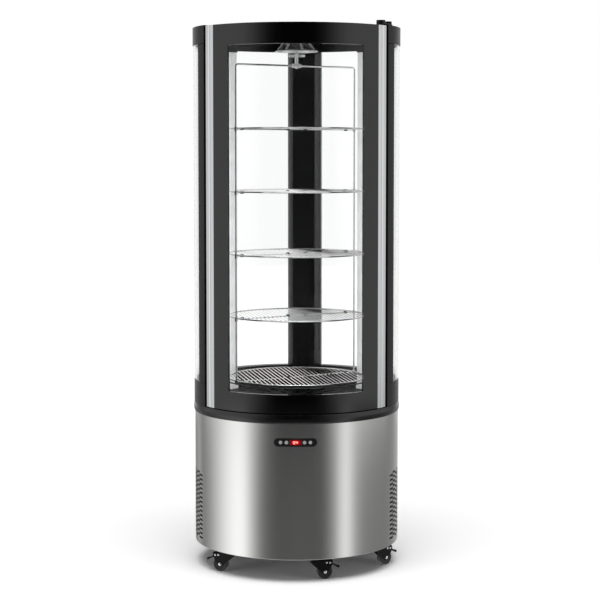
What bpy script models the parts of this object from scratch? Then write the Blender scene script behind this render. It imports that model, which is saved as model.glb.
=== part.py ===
"""Round refrigerated display case with a turning wire rack.

Metres, +Z up. The origin is on the floor, on the axis of the case, and the door faces -Y.
Azimuths run round that axis from the front towards the right-hand side.
"""

from math import asin, atan2, ceil, cos, floor, pi, radians, sin

import bmesh
import bpy
from mathutils import Matrix, Vector

# Clearances and overlaps that all pieces share
SEAT_GAP = 0.0003  # between pieces that bear on each other
TURNING_GAP = 0.0005  # between a pin and the hole that it turns in
OVERRUN = 0.006  # how far a cutter passes the wall that it cuts
SINK = 0.001  # how deep two shapes run into each other before they are fused
WELD = 0.000002  # corners closer than this are one corner

# Facets: all the large round pieces share one polygon, so that their walls stay parallel
FACETS = 40
FACET_ANGLE = 2 * pi / FACETS

# Heights of the case, from the floor up
SKIRT_HEIGHT = 0.075
SHELL_HEIGHT = 0.4327
RING_HEIGHT = 0.029
BAND_HEIGHT = 0.0757
WINDOW_HEIGHT = 1.0944
CAP_HEIGHT = 0.058
SHELL_TOP = SKIRT_HEIGHT + SHELL_HEIGHT
RING_BOTTOM = SHELL_TOP + SEAT_GAP
RING_TOP = RING_BOTTOM + RING_HEIGHT
BAND_BOTTOM = RING_TOP + SEAT_GAP
BAND_TOP = BAND_BOTTOM + BAND_HEIGHT
WINDOW_BOTTOM = BAND_TOP + SEAT_GAP
WINDOW_TOP = WINDOW_BOTTOM + WINDOW_HEIGHT
CAP_BOTTOM = WINDOW_TOP + SEAT_GAP
CAP_TOP = CAP_BOTTOM + CAP_HEIGHT

# Radii of the case, each set back from the one outside it
CASE_RADIUS = 0.342  # trim ring and cap
BODY_INSET = 0.002
SHELL_INSET = 0.004
FRAME_DEPTH = 0.024  # of the door's frame with its glass
GASKET_DEPTH = 0.0085
SILL_WALL = 0.0105
BODY_RADIUS = CASE_RADIUS - BODY_INSET  # door, posts and lower band
SHELL_RADIUS = CASE_RADIUS - SHELL_INSET
FRAME_INNER_RADIUS = BODY_RADIUS - FRAME_DEPTH
LINER_RADIUS = FRAME_INNER_RADIUS - GASKET_DEPTH  # faces that the door's gasket closes on
BORE_RADIUS = LINER_RADIUS - SILL_WALL  # clear bore of the trim ring and the sill

# Base shell with its vents
SHELL_WALL = 0.003
VENT_ROWS = 15
VENT_WIDE_ROW = 4  # slots in every other row, the rows between hold one less
VENT_ROW_PITCH = 0.015
VENT_LOWEST = 0.016  # lowest row above the shell's lower edge
VENT_SLOT_HEIGHT = 0.0055
VENT_SLOT_ANGLE = radians(5.0)
VENT_MIDDLE_FACET = 9
VENT_MIDDLE_AZIMUTH = VENT_MIDDLE_FACET * FACET_ANGLE

# Base plate
PLATE_LIFT = 0.004  # above the shell's lower edge
PLATE_WALL = 0.005
PLATE_BOTTOM = SKIRT_HEIGHT + PLATE_LIFT
PLATE_TOP = PLATE_BOTTOM + PLATE_WALL

# Trim ring
RING_BULGE = 0.003
RING_CREST_SHARE = 0.5
RING_SPIGOT = 0.018  # reach of its underside into the shell
RING_LEDGE_WALL = 0.0097
RING_LEDGE_REACH = 0.027
RING_LEDGE_BOTTOM = RING_BOTTOM - RING_SPIGOT
RING_LEDGE_TOP = RING_LEDGE_BOTTOM + RING_LEDGE_WALL

# Cabinet floor, a folded pan with the evaporator's well
DECK_HEIGHT = 0.045
DECK_WALL = 0.003
DECK_TOP = RING_LEDGE_TOP + SEAT_GAP + DECK_HEIGHT
WELL_INSET = 0.107  # inside the trim ring's bore
WELL_DEPTH = 0.125
WELL_RADIUS = BORE_RADIUS - WELL_INSET
GRILLE_LAP = 0.022  # how far the grille lies on the floor round the well
GRILLE_WALL = 0.0037
GRILLE_SIDES = 32
GRILLE_SLOTS = 12
GRILLE_SLOT_WIDTH = 0.016
GRILLE_SLOT_START = 0.075
GRILLE_SLOT_INSET = 0.030  # from a slot's outer end to the well's wall

# Lower band, its sill and the front posts
SILL_HEIGHT = 0.0527
BAND_WALL = 0.035
POST_START = radians(60.35)
POST_END = radians(68.8)
POST_WALL = 0.044
FLANGE_START = radians(45.0)
FLANGE_END = radians(62.0)
FLANGE_FOOT_END = radians(60.05)
FLANGE_WALL = 0.0095
FLANGE_STEP = 0.0007  # the flange's heel starts this far above the window line

# Cap
ROOF_WALL = 0.016
CAP_WALL = 0.007
FASCIA_WALL = 0.0085
ROOF_BOTTOM = CAP_TOP - ROOF_WALL
FASCIA_DROP = 0.002  # the fascia's edge hangs this far below the cap's
NOTCH_AZIMUTH = radians(59.55)
CHEEK_END = radians(62.05)
FASCIA_END = radians(59.95)

# Side glass
GLASS_INSET = 0.0005
GLASS_WALL = 0.005
GLASS_RADIUS = BODY_RADIUS - GLASS_INSET

# Rear column, in its own frame: half widths sideways, distances out from the axis
COLUMN_AZIMUTH = radians(175.1)
COLUMN_FACE_HALF = 0.038
COLUMN_HALF = 0.057
COLUMN_DEPTH = 0.084
COLUMN_BEVEL = 0.026  # how far the column's shoulders lie behind its face
COLUMN_FACE = BODY_RADIUS - COLUMN_DEPTH
COLUMN_SHOULDER = COLUMN_FACE + COLUMN_BEVEL
COLUMN_SLOTS = 4
COLUMN_SLOT_WIDTH = 0.050
COLUMN_SLOT_HEIGHT = 0.005
COLUMN_SLOT_PITCH = 0.0125
COLUMN_SLOT_DEPTH = 0.012
COLUMN_SLOT_LIFT = 0.022  # lowest slot above the window line

# Light strips
LAMP_AZIMUTH = radians(49.3)  # to each side of straight back
LAMP_INSET = 0.007  # from its middle to the sill
LAMP_RADIUS = BORE_RADIUS - LAMP_INSET
LAMP_WIDTH = 0.036
LAMP_DEPTH = 0.012

# Door
DOOR_LIFT = 0.003  # above the trim ring
DOOR_DROP = 0.002  # below the cap's top
DOOR_BOTTOM = RING_TOP + DOOR_LIFT
DOOR_TOP = CAP_TOP - DOOR_DROP
DOOR_HALF = radians(57.95)
FRAME_HALF = radians(50.5)
OPENING_HALF = radians(42.9)
OPENING_LIFT = 0.053  # clear opening above the door's lower edge
OPENING_DROP = 0.061  # clear opening below the door's upper edge
DOOR_GLASS_WALL = 0.004
DOOR_GLASS_INSET = 0.0005
STRIP_GAP_ANGLE = radians(0.08)
GASKET_HALF = radians(50.1)
GASKET_INNER_HALF = radians(47.4)
GASKET_INSET = 0.006
GASKET_BAND = 0.012
GASKET_TOP_INSET = 0.017

# Hinges
HINGE_AZIMUTH = radians(55.5)
HINGE_INSET = 0.012
HINGE_RADIUS = BODY_RADIUS - HINGE_INSET
HINGE_PIN_RADIUS = 0.004
HINGE_PIN_REACH = 0.0203
HINGE_PIN_END_GAP = 0.001
HINGE_STUB_DEPTH = 0.0092
WASHER_RADIUS = 0.008
BRACKET_WALL = 0.0037
BRACKET_RADIUS = 0.0135
BRACKET_KNUCKLE_RADIUS = 0.0125
BRACKET_KNUCKLE_HEIGHT = 0.0137
BRACKET_SCREW_RADIUS = 0.0095
BRACKET_SCREW_HEIGHT = 0.011
ANCHOR_AZIMUTH = radians(65.5)
ANCHOR_INSET = 0.017
ANCHOR_RADIUS = CASE_RADIUS - ANCHOR_INSET

# Control panel: a stadium let into the shell, its display and buttons
PANEL_PROUD = 0.001
PANEL_RADIUS = SHELL_RADIUS + PANEL_PROUD
PANEL_WALL = 0.009
PANEL_WIDTH = 0.137
PANEL_HEIGHT = 0.027
PANEL_DROP = 0.058  # its middle below the trim ring
PANEL_MIDDLE = RING_BOTTOM - PANEL_DROP
DISPLAY_WIDTH = 0.039
DISPLAY_HEIGHT = 0.017
DISPLAY_WALL = 0.002
DISPLAY_INSET = 0.0005
BUTTON_RADIUS = 0.0055
BUTTON_PROUD = 0.0015
BUTTON_FLANGE_RADIUS = 0.0068
BUTTON_FLANGE_WALL = 0.0012
BUTTON_TRAVEL_GAP = 0.0005
BUTTON_OFFSETS = (-0.047, -0.0285, 0.0285, 0.047)
BUTTON_SIDES = 12
STADIUM_ARC_STEPS = 6

# Rack drive under the roof
MOTOR_RADIUS = 0.030
MOTOR_HEIGHT = 0.0317
MOTOR_BOSS_RADIUS = 0.008
MOTOR_BOSS_HEIGHT = 0.006
DRIVE_TOP = ROOF_BOTTOM - SEAT_GAP
BOSS_BOTTOM = DRIVE_TOP - MOTOR_HEIGHT - MOTOR_BOSS_HEIGHT
COUPLING_TOP = BOSS_BOTTOM - SEAT_GAP
CANOPY_RADIUS = 0.0705
CANOPY_NECK_RADIUS = 0.040
CANOPY_HEIGHT = 0.060
CANOPY_WALL = 0.0015
CANOPY_FLARE_POWER = 2.6
CANOPY_STEPS = 5
CANOPY_SIDES = 18
SHAFT_RADIUS = 0.005
COUPLING_RADIUS = 0.009
COUPLING_HEIGHT = 0.0165
STAR_NUT_RADIUS = 0.028
STAR_NUT_HEIGHT = 0.006
STAR_NUT_DROP = 0.031  # the nut's top below the coupling's
STAR_NUT_POINTS = 7
STAR_NUT_ROOT_SHARE = 0.72

# Rack: a hanging wire frame with five shelves
RACK_TURN = radians(33.0)
RACK_INSET = 0.065  # inside the trim ring's bore
RACK_HALF_WIDTH = BORE_RADIUS - RACK_INSET
RACK_WIRE_RADIUS = 0.003
RACK_BAR_DROP = 0.1057  # bar below the roof's underside
BAR_HEIGHT = ROOF_BOTTOM - RACK_BAR_DROP
RACK_CORNER_RADIUS = 0.009
RACK_CORNER_STEPS = 4
RACK_FOOT_DROP = 0.010  # rods below the lowest shelf
CLAMP_LENGTH = 0.030
CLAMP_DEPTH = 0.014
CLAMP_ABOVE = 0.0077
CLAMP_BELOW = 0.0083
CLAMP_FLOOR = 0.005
SHELF_LOWEST = 0.069  # above the cabinet floor
SHELF_PITCH = 0.206
SHELF_COUNT = 5
SHELF_INSET = 0.006
SHELF_RADIUS = RACK_HALF_WIDTH - SHELF_INSET
SHELF_WIRE_RADIUS = 0.0025
SHELF_MESH_RADIUS = 0.0016
SHELF_MESH_WIRES = 7
SHELF_MESH_INSET = 0.058  # from the rim to the outermost wires
SHELF_MESH_REACH = SHELF_RADIUS - SHELF_MESH_INSET
SHELF_RIM_STEPS = 28
SLEEVE_RADIUS = 0.0055
SLEEVE_SIDES = 8
SLEEVE_HEIGHT = 0.008
COLLAR_RADIUS = 0.0055
COLLAR_HEIGHT = 0.005
COLLAR_SIDES = 6
BUMPER_WALL = 0.005
BUMPER_HEIGHT = 0.0045
BUMPER_DROP = 0.0045  # its top below the lowest shelf's middle

# Refrigeration unit in the base
UNIT_BOTTOM = PLATE_TOP + SEAT_GAP
COMPRESSOR_INSET = 0.238  # from its middle to the shell
COMPRESSOR_X = SHELL_RADIUS - COMPRESSOR_INSET
COMPRESSOR_RADIUS = 0.075
COMPRESSOR_HEIGHT = 0.185
COMPRESSOR_FOOT = 0.150
COMPRESSOR_FOOT_WALL = 0.004
COMPRESSOR_SIDES = 16
COMPRESSOR_RADIUS_SHARES = (0.80, 0.97, 1.0, 0.98, 0.86, 0.62, 0.30)
COMPRESSOR_HEIGHT_SHARES = (0.0, 0.10, 0.40, 0.66, 0.83, 0.94, 0.99)
CONDENSER_INSET = 0.128  # from its middle to the shell
CONDENSER_X = CONDENSER_INSET - SHELL_RADIUS
CONDENSER_DEPTH = 0.050
CONDENSER_HEIGHT = 0.2157
CONDENSER_EXCESS = 0.0043  # of its width over its height
CONDENSER_WIDTH = CONDENSER_HEIGHT + CONDENSER_EXCESS
CONDENSER_FINS = 8
FIN_WALL = 0.004
FIN_REACH = 0.014
SHROUD_DEPTH = 0.034
SHROUD_FACE_X = CONDENSER_X + CONDENSER_DEPTH / 2 + SEAT_GAP
SHROUD_BACK_X = SHROUD_FACE_X + SHROUD_DEPTH
SHROUD_RIM = 0.01285  # least width of the cowl round its bore
SHROUD_BORE_RADIUS = CONDENSER_HEIGHT / 2 - SHROUD_RIM
SHROUD_BORE_SIDES = 20
SPIDER_WIDTH = 0.012
SPIDER_DEPTH = 0.006
FAN_HEIGHT = UNIT_BOTTOM + CONDENSER_HEIGHT / 2
FAN_MOTOR_RADIUS = 0.028
FAN_MOTOR_LENGTH = 0.040
FAN_SHAFT_RADIUS = 0.003
FAN_SHAFT_REACH = 0.026
FAN_RUNNING_GAP = 0.0003
FAN_SWEEP_SHARE = 0.95
FAN_HUB_SHARE = 0.22
FAN_HUB_LENGTH = 0.020
FAN_BLADES = 5
FAN_SECTION_SHARES = (0.0, 0.5, 1.0)
FAN_ROOT_PITCH = radians(38.0)
FAN_TIP_PITCH = radians(22.0)
FAN_ROOT_CHORD_SHARE = 0.36
FAN_TIP_CHORD_SHARE = 0.56
FAN_BLADE_WALL = 0.0016
FAN_HUB_SIDES = 10

# Evaporator in the well, and the fan that hangs from the deck grille
EVAPORATOR_END_INSET = 0.080  # from its ends to the well's wall
EVAPORATOR_SIDE_INSET = 0.090  # from its sides to the well's wall
EVAPORATOR_LENGTH = 2 * (WELL_RADIUS - EVAPORATOR_END_INSET)
EVAPORATOR_WIDTH = 2 * (WELL_RADIUS - EVAPORATOR_SIDE_INSET)
EVAPORATOR_HEIGHT = 0.050
EVAPORATOR_FINS = 7
EVAPORATOR_FIN_REACH = 0.016
WELL_FAN_RADIUS = 0.070
WELL_MOTOR_RADIUS = 0.022
WELL_MOTOR_LENGTH = 0.016
WELL_SHAFT_REACH = 0.024

# Casters
CASTER_INSET = 0.051  # from a kingpin to the shell
CASTER_CIRCLE = SHELL_RADIUS - CASTER_INSET
CASTER_AZIMUTHS = tuple(radians(angle) for angle in (-49, 13, 69, 131, 191, 251))
CASTER_HEADINGS = tuple(radians(angle) for angle in (160, 12, 38, 120, 200, 60))
BRAKED_CASTERS = 3
CASTER_SIDES = 8
WHEEL_RADIUS = 0.025
WHEEL_WIDTH = 0.020
WHEEL_EDGE = 0.002
WHEEL_SIDES = 16
WHEEL_SIDE_GAP = 0.0012
CASTER_TRAIL = 0.028
AXLE_RADIUS = 0.004
AXLE_PROUD = 0.003
FORK_WALL = 0.0025
FORK_HEIGHT = 0.063
FORK_CROWN_WALL = 0.003
FORK_NOSE = 0.016
FORK_NOSE_DEPTH = 0.011
FORK_TAIL = 0.040
FORK_BRAKED_TAIL = 0.052
FORK_TAIL_DEPTH = 0.014
AXLE_EYE_RADIUS = 0.009
AXLE_EYE_START = radians(205.0)
AXLE_EYE_END = radians(350.0)
AXLE_EYE_STEPS = 4
FORK_INNER = WHEEL_WIDTH / 2 + WHEEL_SIDE_GAP
FORK_OUTER = FORK_INNER + FORK_WALL
RACEWAY_RADIUS = 0.015
KINGPIN_RADIUS = 0.005
KINGPIN_HEAD_RADIUS = 0.009
KINGPIN_HEAD_HEIGHT = 0.004
PEDAL_PIVOT_REACH = 0.0435
PEDAL_PIVOT_HEIGHT = 0.0545
PEDAL_SLOPE = radians(-30.0)
PEDAL_LENGTH = 0.036
PEDAL_WALL = 0.003
PEDAL_WIDTH = 0.018
PEDAL_HUB_RADIUS = 0.004
PEDAL_HUB_START = radians(50.0)
PEDAL_HUB_END = radians(310.0)
PEDAL_HUB_STEPS = 6
PEDAL_LIP = 0.003
PEDAL_PIN_RADIUS = 0.002
PEDAL_RIVET_RADIUS = 0.0032
PEDAL_RIVET_PROUD = 0.0012
PEDAL_PIN_SIDES = 6

# Cable gland in the rear of the shell
GLAND_FACET = 20.5
GLAND_AZIMUTH = GLAND_FACET * FACET_ANGLE
GLAND_LIFT = 0.045  # above the shell's lower edge
GLAND_RADIUS = 0.008
GLAND_BORE_RADIUS = 0.0045
GLAND_FLANGE_RADIUS = 0.011
GLAND_FLANGE_WALL = 0.0022
GLAND_NOSE = 0.001
GLAND_REACH = 0.012
GLAND_SIDES = 12

# Finishes: colour, roughness, metallic, transmission
FINISHES = {
    "brushed_steel": ((0.60, 0.60, 0.59), 0.30, 1.0, 0.0),
    "black_enamel": ((0.012, 0.012, 0.013), 0.35, 0.0, 0.0),
    "black_plastic": ((0.018, 0.018, 0.019), 0.50, 0.0, 0.0),
    "bright_strip": ((0.70, 0.71, 0.72), 0.25, 1.0, 0.0),
    "clear_glass": ((0.90, 0.95, 0.93), 0.05, 0.0, 0.9),
    "chrome": ((0.80, 0.80, 0.80), 0.12, 1.0, 0.0),
    "gasket_rubber": ((0.025, 0.025, 0.026), 0.70, 0.0, 0.0),
    "tread_rubber": ((0.20, 0.20, 0.21), 0.75, 0.0, 0.0),
    "zinc_steel": ((0.55, 0.56, 0.57), 0.38, 1.0, 0.0),
    "lamp_cover": ((0.88, 0.90, 0.92), 0.45, 0.0, 0.3),
    "coil_metal": ((0.66, 0.66, 0.65), 0.45, 1.0, 0.0),
    "display_lens": ((0.03, 0.01, 0.01), 0.15, 0.0, 0.0),
}
SMOOTH_ANGLE = radians(32.0)
FLAT_ANGLE = radians(0.02)  # faces that meet at less than this lie in one plane
WIRE_ROUNDNESS = 1
MESH_ROUNDNESS = 0
OUTWARD = Matrix.Rotation(pi / 2, 4, "X")  # turns a shape built up +Z so that it points to the front
SIDEWAYS = Matrix.Rotation(pi / 2, 4, "Y")  # turns a shape built up +Z so that it points to +X


# Basic shapes

def polar(radius, azimuth, height=0.0):
    """A point given by its azimuth round the case."""
    return Vector((radius * sin(azimuth), -radius * cos(azimuth), height))


def facet_share(azimuth):
    """How much of a corner's radius the shared polygon reaches at an azimuth."""
    half = FACET_ANGLE / 2
    return cos(half) / cos(azimuth % FACET_ANGLE - half)


def facet_azimuths(start, end):
    """Both ends of an arc and the polygon's corners between them."""
    first = floor(start / FACET_ANGLE) + 1
    last = ceil(end / FACET_ANGLE) - 1
    return [start] + [step * FACET_ANGLE for step in range(first, last + 1)] + [end]


def mesh_from(bm):
    bmesh.ops.recalc_face_normals(bm, faces=bm.faces)
    mesh = bpy.data.meshes.new("shape")
    bm.to_mesh(mesh)
    bm.free()
    return mesh


def bridged(rings, whole):
    """Rings of corners joined side to side, into a ring or, with end faces, into a bar."""
    bm = bmesh.new()
    corners = {}
    made = []
    for ring in rings:
        row = []
        for point in ring:
            key = (0.0, 0.0, point.z) if point.xy.length < WELD else tuple(point)
            if key not in corners:
                corners[key] = bm.verts.new(key)
            row.append(corners[key])
        made.append(row)
    following = made[1:] + made[:1] if whole else made[1:]
    for near, far in zip(made, following):
        for index in range(len(near)):
            after = (index + 1) % len(near)
            face = list(dict.fromkeys((near[index], far[index], far[after], near[after])))
            if len(face) > 2:
                bm.faces.new(face)
    if not whole:
        bm.faces.new(made[0])
        bm.faces.new(made[-1])
    return mesh_from(bm)


def turned(profile, sides=FACETS):
    """A closed profile of (radius, height) points turned round the Z axis."""
    azimuths = [step * 2 * pi / sides for step in range(sides)]
    rings = [[polar(radius, azimuth, height) for radius, height in profile] for azimuth in azimuths]
    return bridged(rings, whole=True)


def swept(profile, start, end):
    """A closed profile of (radius, height) points carried along an arc of the shared polygon."""
    rings = []
    for azimuth in facet_azimuths(start, end):
        share = facet_share(azimuth)
        rings.append([polar(radius * share, azimuth, height) for radius, height in profile])
    return bridged(rings, whole=False)


def block(low, high):
    """A rectangular profile from its low to its high corner."""
    return [(low[0], low[1]), (high[0], low[1]), (high[0], high[1]), (low[0], high[1])]


def wrapped(outline, inner, outer):
    """A plate drawn with (azimuth, height) points and wrapped round the case."""
    bm = bmesh.new()
    bm.faces.new([bm.verts.new((azimuth, 0.0, height)) for azimuth, height in outline])
    azimuths = [azimuth for azimuth, height in outline]
    for azimuth in facet_azimuths(min(azimuths), max(azimuths))[1:-1]:
        everything = bm.verts[:] + bm.edges[:] + bm.faces[:]
        bmesh.ops.bisect_plane(
            bm, geom=everything, dist=WELD, plane_co=(azimuth, 0, 0), plane_no=(1, 0, 0)
        )
    grown = bmesh.ops.extrude_face_region(bm, geom=bm.faces[:])["geom"]
    raised = {item for item in grown if isinstance(item, bmesh.types.BMVert)}
    for vert in bm.verts:
        radius = outer if vert in raised else inner
        azimuth = vert.co.x
        vert.co = polar(radius * facet_share(azimuth), azimuth, vert.co.z)
    return mesh_from(bm)


def plate(outline, bottom, top):
    """An outline of (x, y) points extruded upwards."""
    bm = bmesh.new()
    face = bm.faces.new([bm.verts.new((x, y, bottom)) for x, y in outline])
    grown = bmesh.ops.extrude_face_region(bm, geom=[face])["geom"]
    raised = [item for item in grown if isinstance(item, bmesh.types.BMVert)]
    bmesh.ops.translate(bm, verts=raised, vec=(0, 0, top - bottom))
    return mesh_from(bm)


def box(low, high):
    """A box from its low to its high corner."""
    return plate(block(low[:2], high[:2]), low[2], high[2])


def cylinder(radius, bottom, top, sides):
    return turned([(0, bottom), (radius, bottom), (radius, top), (0, top)], sides)


def arc(centre, radius, start, end, steps):
    """Points along an arc in a plane, angles from the first axis towards the second."""
    angles = [start + (end - start) * step / steps for step in range(steps + 1)]
    return [(centre[0] + radius * cos(a), centre[1] + radius * sin(a)) for a in angles]


def evaluated(obj):
    graph = bpy.context.evaluated_depsgraph_get()
    return bpy.data.meshes.new_from_object(obj.evaluated_get(graph))


def wire(points, radius, roundness, closed=False):
    """A round wire along a path of points."""
    curve = bpy.data.curves.new("path", "CURVE")
    curve.dimensions = "3D"
    curve.bevel_depth = radius
    curve.bevel_resolution = roundness
    curve.use_fill_caps = not closed
    spline = curve.splines.new("POLY")
    spline.points.add(len(points) - 1)
    for corner, place in zip(spline.points, points):
        corner.co = (*place, 1)
    spline.use_cyclic_u = closed
    carrier = bpy.data.objects.new("carrier", curve)
    bpy.context.collection.objects.link(carrier)
    bm = bmesh.new()
    bm.from_mesh(evaluated(carrier))
    bpy.data.objects.remove(carrier)
    bmesh.ops.remove_doubles(bm, verts=bm.verts, dist=WELD)
    return mesh_from(bm)


def moved(mesh, *steps):
    """The mesh after the given transforms, the last of them applied first."""
    whole = Matrix.Identity(4)
    for step in steps:
        whole = whole @ step
    mesh.transform(whole)
    return mesh


def shift(x, y, z):
    return Matrix.Translation((x, y, z))


def facing(azimuth):
    """Turns a shape built at the front of the case to an azimuth."""
    return Matrix.Rotation(azimuth, 4, "Z")


def mirrored(mesh):
    """The same shape on the other side of the case."""
    bm = bmesh.new()
    bm.from_mesh(mesh)
    bmesh.ops.transform(bm, matrix=Matrix.Scale(-1, 4, (1, 0, 0)), verts=bm.verts)
    return mesh_from(bm)


def grouped(meshes):
    """Shapes that don't touch, gathered into one mesh."""
    bm = bmesh.new()
    for mesh in meshes:
        bm.from_mesh(mesh)
    return mesh_from(bm)


def tidied(mesh):
    """The mesh without the seams that a Boolean leaves across flat faces."""
    bm = bmesh.new()
    bm.from_mesh(mesh)
    bmesh.ops.remove_doubles(bm, verts=bm.verts, dist=WELD)
    bmesh.ops.dissolve_limit(bm, angle_limit=FLAT_ANGLE, verts=bm.verts, edges=bm.edges)
    return mesh_from(bm)


def combined(base, tool, operation):
    """One closed mesh from two, by an exact Boolean."""
    carrier = bpy.data.objects.new("carrier", base)
    cutter = bpy.data.objects.new("cutter", tool)
    bpy.context.collection.objects.link(carrier)
    bpy.context.collection.objects.link(cutter)
    step = carrier.modifiers.new("combine", "BOOLEAN")
    step.operation = operation
    step.solver = "EXACT"
    step.object = cutter
    result = evaluated(carrier)
    bpy.data.objects.remove(carrier)
    bpy.data.objects.remove(cutter)
    return tidied(result)


def fused(base, *others):
    for other in others:
        base = combined(base, other, "UNION")
    return base


def cut(base, *tools):
    for tool in tools:
        base = combined(base, tool, "DIFFERENCE")
    return base


# Base

def stadium(width, height):
    """A long round-ended outline round the origin."""
    radius = height / 2
    reach = width / 2 - radius
    right = arc((reach, 0), radius, -pi / 2, pi / 2, STADIUM_ARC_STEPS)
    left = arc((-reach, 0), radius, pi / 2, 3 * pi / 2, STADIUM_ARC_STEPS)
    return right + left


def panel_prism(clearance):
    """The control panel's outline as a bar through the front of the shell."""
    outline = stadium(PANEL_WIDTH + 2 * clearance, PANEL_HEIGHT + 2 * clearance)
    depth = PANEL_RADIUS - PANEL_WALL
    bar = plate(outline, depth * cos(asin(PANEL_WIDTH / PANEL_RADIUS)), CASE_RADIUS + OVERRUN)
    return moved(bar, shift(0, 0, PANEL_MIDDLE), OUTWARD)


def vent_cutters():
    """A slot for each place in the staggered field, on the right-hand side."""
    half = SHELL_RADIUS * sin(VENT_SLOT_ANGLE / 2)
    inside = SHELL_RADIUS - SHELL_WALL - OVERRUN
    slots = []
    for row in range(VENT_ROWS):
        count = VENT_WIDE_ROW - row % 2
        middle = SKIRT_HEIGHT + VENT_LOWEST + row * VENT_ROW_PITCH
        for column in range(count):
            azimuth = VENT_MIDDLE_AZIMUTH + (column - (count - 1) / 2) * FACET_ANGLE
            low = (-half, -SHELL_RADIUS - OVERRUN, middle - VENT_SLOT_HEIGHT / 2)
            high = (half, -inside, middle + VENT_SLOT_HEIGHT / 2)
            slots.append(moved(box(low, high), facing(azimuth)))
    return slots


def gland_frame():
    """Carries a shape built up +Z to the gland's place, square to the facet there."""
    height = SKIRT_HEIGHT + GLAND_LIFT
    return facing(GLAND_AZIMUTH) @ shift(0, 0, height) @ OUTWARD


def base_shell():
    profile = block((SHELL_RADIUS - SHELL_WALL, SKIRT_HEIGHT), (SHELL_RADIUS, SHELL_TOP))
    right = vent_cutters()
    left = [mirrored(slot) for slot in right]
    gland = cylinder(GLAND_RADIUS + SEAT_GAP, SHELL_RADIUS / 2, CASE_RADIUS + OVERRUN, GLAND_SIDES)
    openings = grouped(right + left + [panel_prism(SEAT_GAP), moved(gland, gland_frame())])
    return cut(turned(profile), openings)


def base_plate():
    radius = SHELL_RADIUS - SHELL_WALL - SEAT_GAP
    disc = turned([(0, PLATE_BOTTOM), (radius, PLATE_BOTTOM), (radius, PLATE_TOP), (0, PLATE_TOP)])
    holes = []
    for azimuth in CASTER_AZIMUTHS:
        hole = cylinder(
            KINGPIN_RADIUS + TURNING_GAP, PLATE_BOTTOM - OVERRUN, PLATE_TOP + OVERRUN, CASTER_SIDES
        )
        holes.append(moved(hole, Matrix.Translation(polar(CASTER_CIRCLE, azimuth))))
    return cut(disc, grouped(holes))


def base_ring():
    spigot = SHELL_RADIUS - SHELL_WALL - SEAT_GAP
    profile = [
        (CASE_RADIUS - RING_BULGE, RING_BOTTOM),
        (CASE_RADIUS, RING_BOTTOM + RING_HEIGHT * RING_CREST_SHARE),
        (CASE_RADIUS - RING_BULGE, RING_TOP),
        (BORE_RADIUS, RING_TOP),
        (BORE_RADIUS, RING_LEDGE_TOP),
        (BORE_RADIUS - RING_LEDGE_REACH, RING_LEDGE_TOP),
        (BORE_RADIUS - RING_LEDGE_REACH, RING_LEDGE_BOTTOM),
        (spigot, RING_LEDGE_BOTTOM),
        (spigot, RING_BOTTOM),
    ]
    floor_height = RING_TOP - HINGE_STUB_DEPTH - SEAT_GAP
    socket = cylinder(
        HINGE_PIN_RADIUS + SEAT_GAP, floor_height, RING_TOP + OVERRUN, CASTER_SIDES
    )
    return cut(turned(profile), moved(socket, Matrix.Translation(hinge_point())))


def deck():
    """A pan on the ring's ledge, open below round its well."""
    edge = BORE_RADIUS - SEAT_GAP
    foot = RING_LEDGE_TOP + SEAT_GAP
    well_floor = DECK_TOP - WELL_DEPTH
    profile = [
        (0, well_floor - DECK_WALL),
        (WELL_RADIUS + DECK_WALL, well_floor - DECK_WALL),
        (WELL_RADIUS + DECK_WALL, DECK_TOP - DECK_WALL),
        (edge - DECK_WALL, DECK_TOP - DECK_WALL),
        (edge - DECK_WALL, foot),
        (edge, foot),
        (edge, DECK_TOP),
        (WELL_RADIUS, DECK_TOP),
        (WELL_RADIUS, well_floor),
        (0, well_floor),
    ]
    return turned(profile)


def deck_grille():
    """A slotted disc over the well, with the well fan's motor on its underside."""
    bottom = DECK_TOP + SEAT_GAP
    top = bottom + GRILLE_WALL
    disc = cylinder(WELL_RADIUS + GRILLE_LAP, bottom, top, GRILLE_SIDES)
    slots = []
    for index in range(GRILLE_SLOTS):
        low = (-GRILLE_SLOT_WIDTH / 2, GRILLE_SLOT_START, bottom - OVERRUN)
        high = (GRILLE_SLOT_WIDTH / 2, WELL_RADIUS - GRILLE_SLOT_INSET, top + OVERRUN)
        slots.append(moved(box(low, high), facing(index * 2 * pi / GRILLE_SLOTS)))
    motor_bottom = bottom - WELL_MOTOR_LENGTH
    motor = [
        (0, bottom + SINK),
        (WELL_MOTOR_RADIUS, bottom + SINK),
        (WELL_MOTOR_RADIUS, motor_bottom),
        (FAN_SHAFT_RADIUS, motor_bottom),
        (FAN_SHAFT_RADIUS, motor_bottom - WELL_SHAFT_REACH),
        (0, motor_bottom - WELL_SHAFT_REACH),
    ]
    return fused(cut(disc, grouped(slots)), turned(motor, CASTER_SIDES))


# Cabinet

def lower_band():
    sill = turned(block((BORE_RADIUS, BAND_BOTTOM), (LINER_RADIUS, BAND_BOTTOM + SILL_HEIGHT)))
    back = swept(
        block((BODY_RADIUS - BAND_WALL, BAND_BOTTOM), (BODY_RADIUS, BAND_TOP)),
        POST_START,
        2 * pi - POST_START,
    )
    return fused(sill, back)


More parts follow.
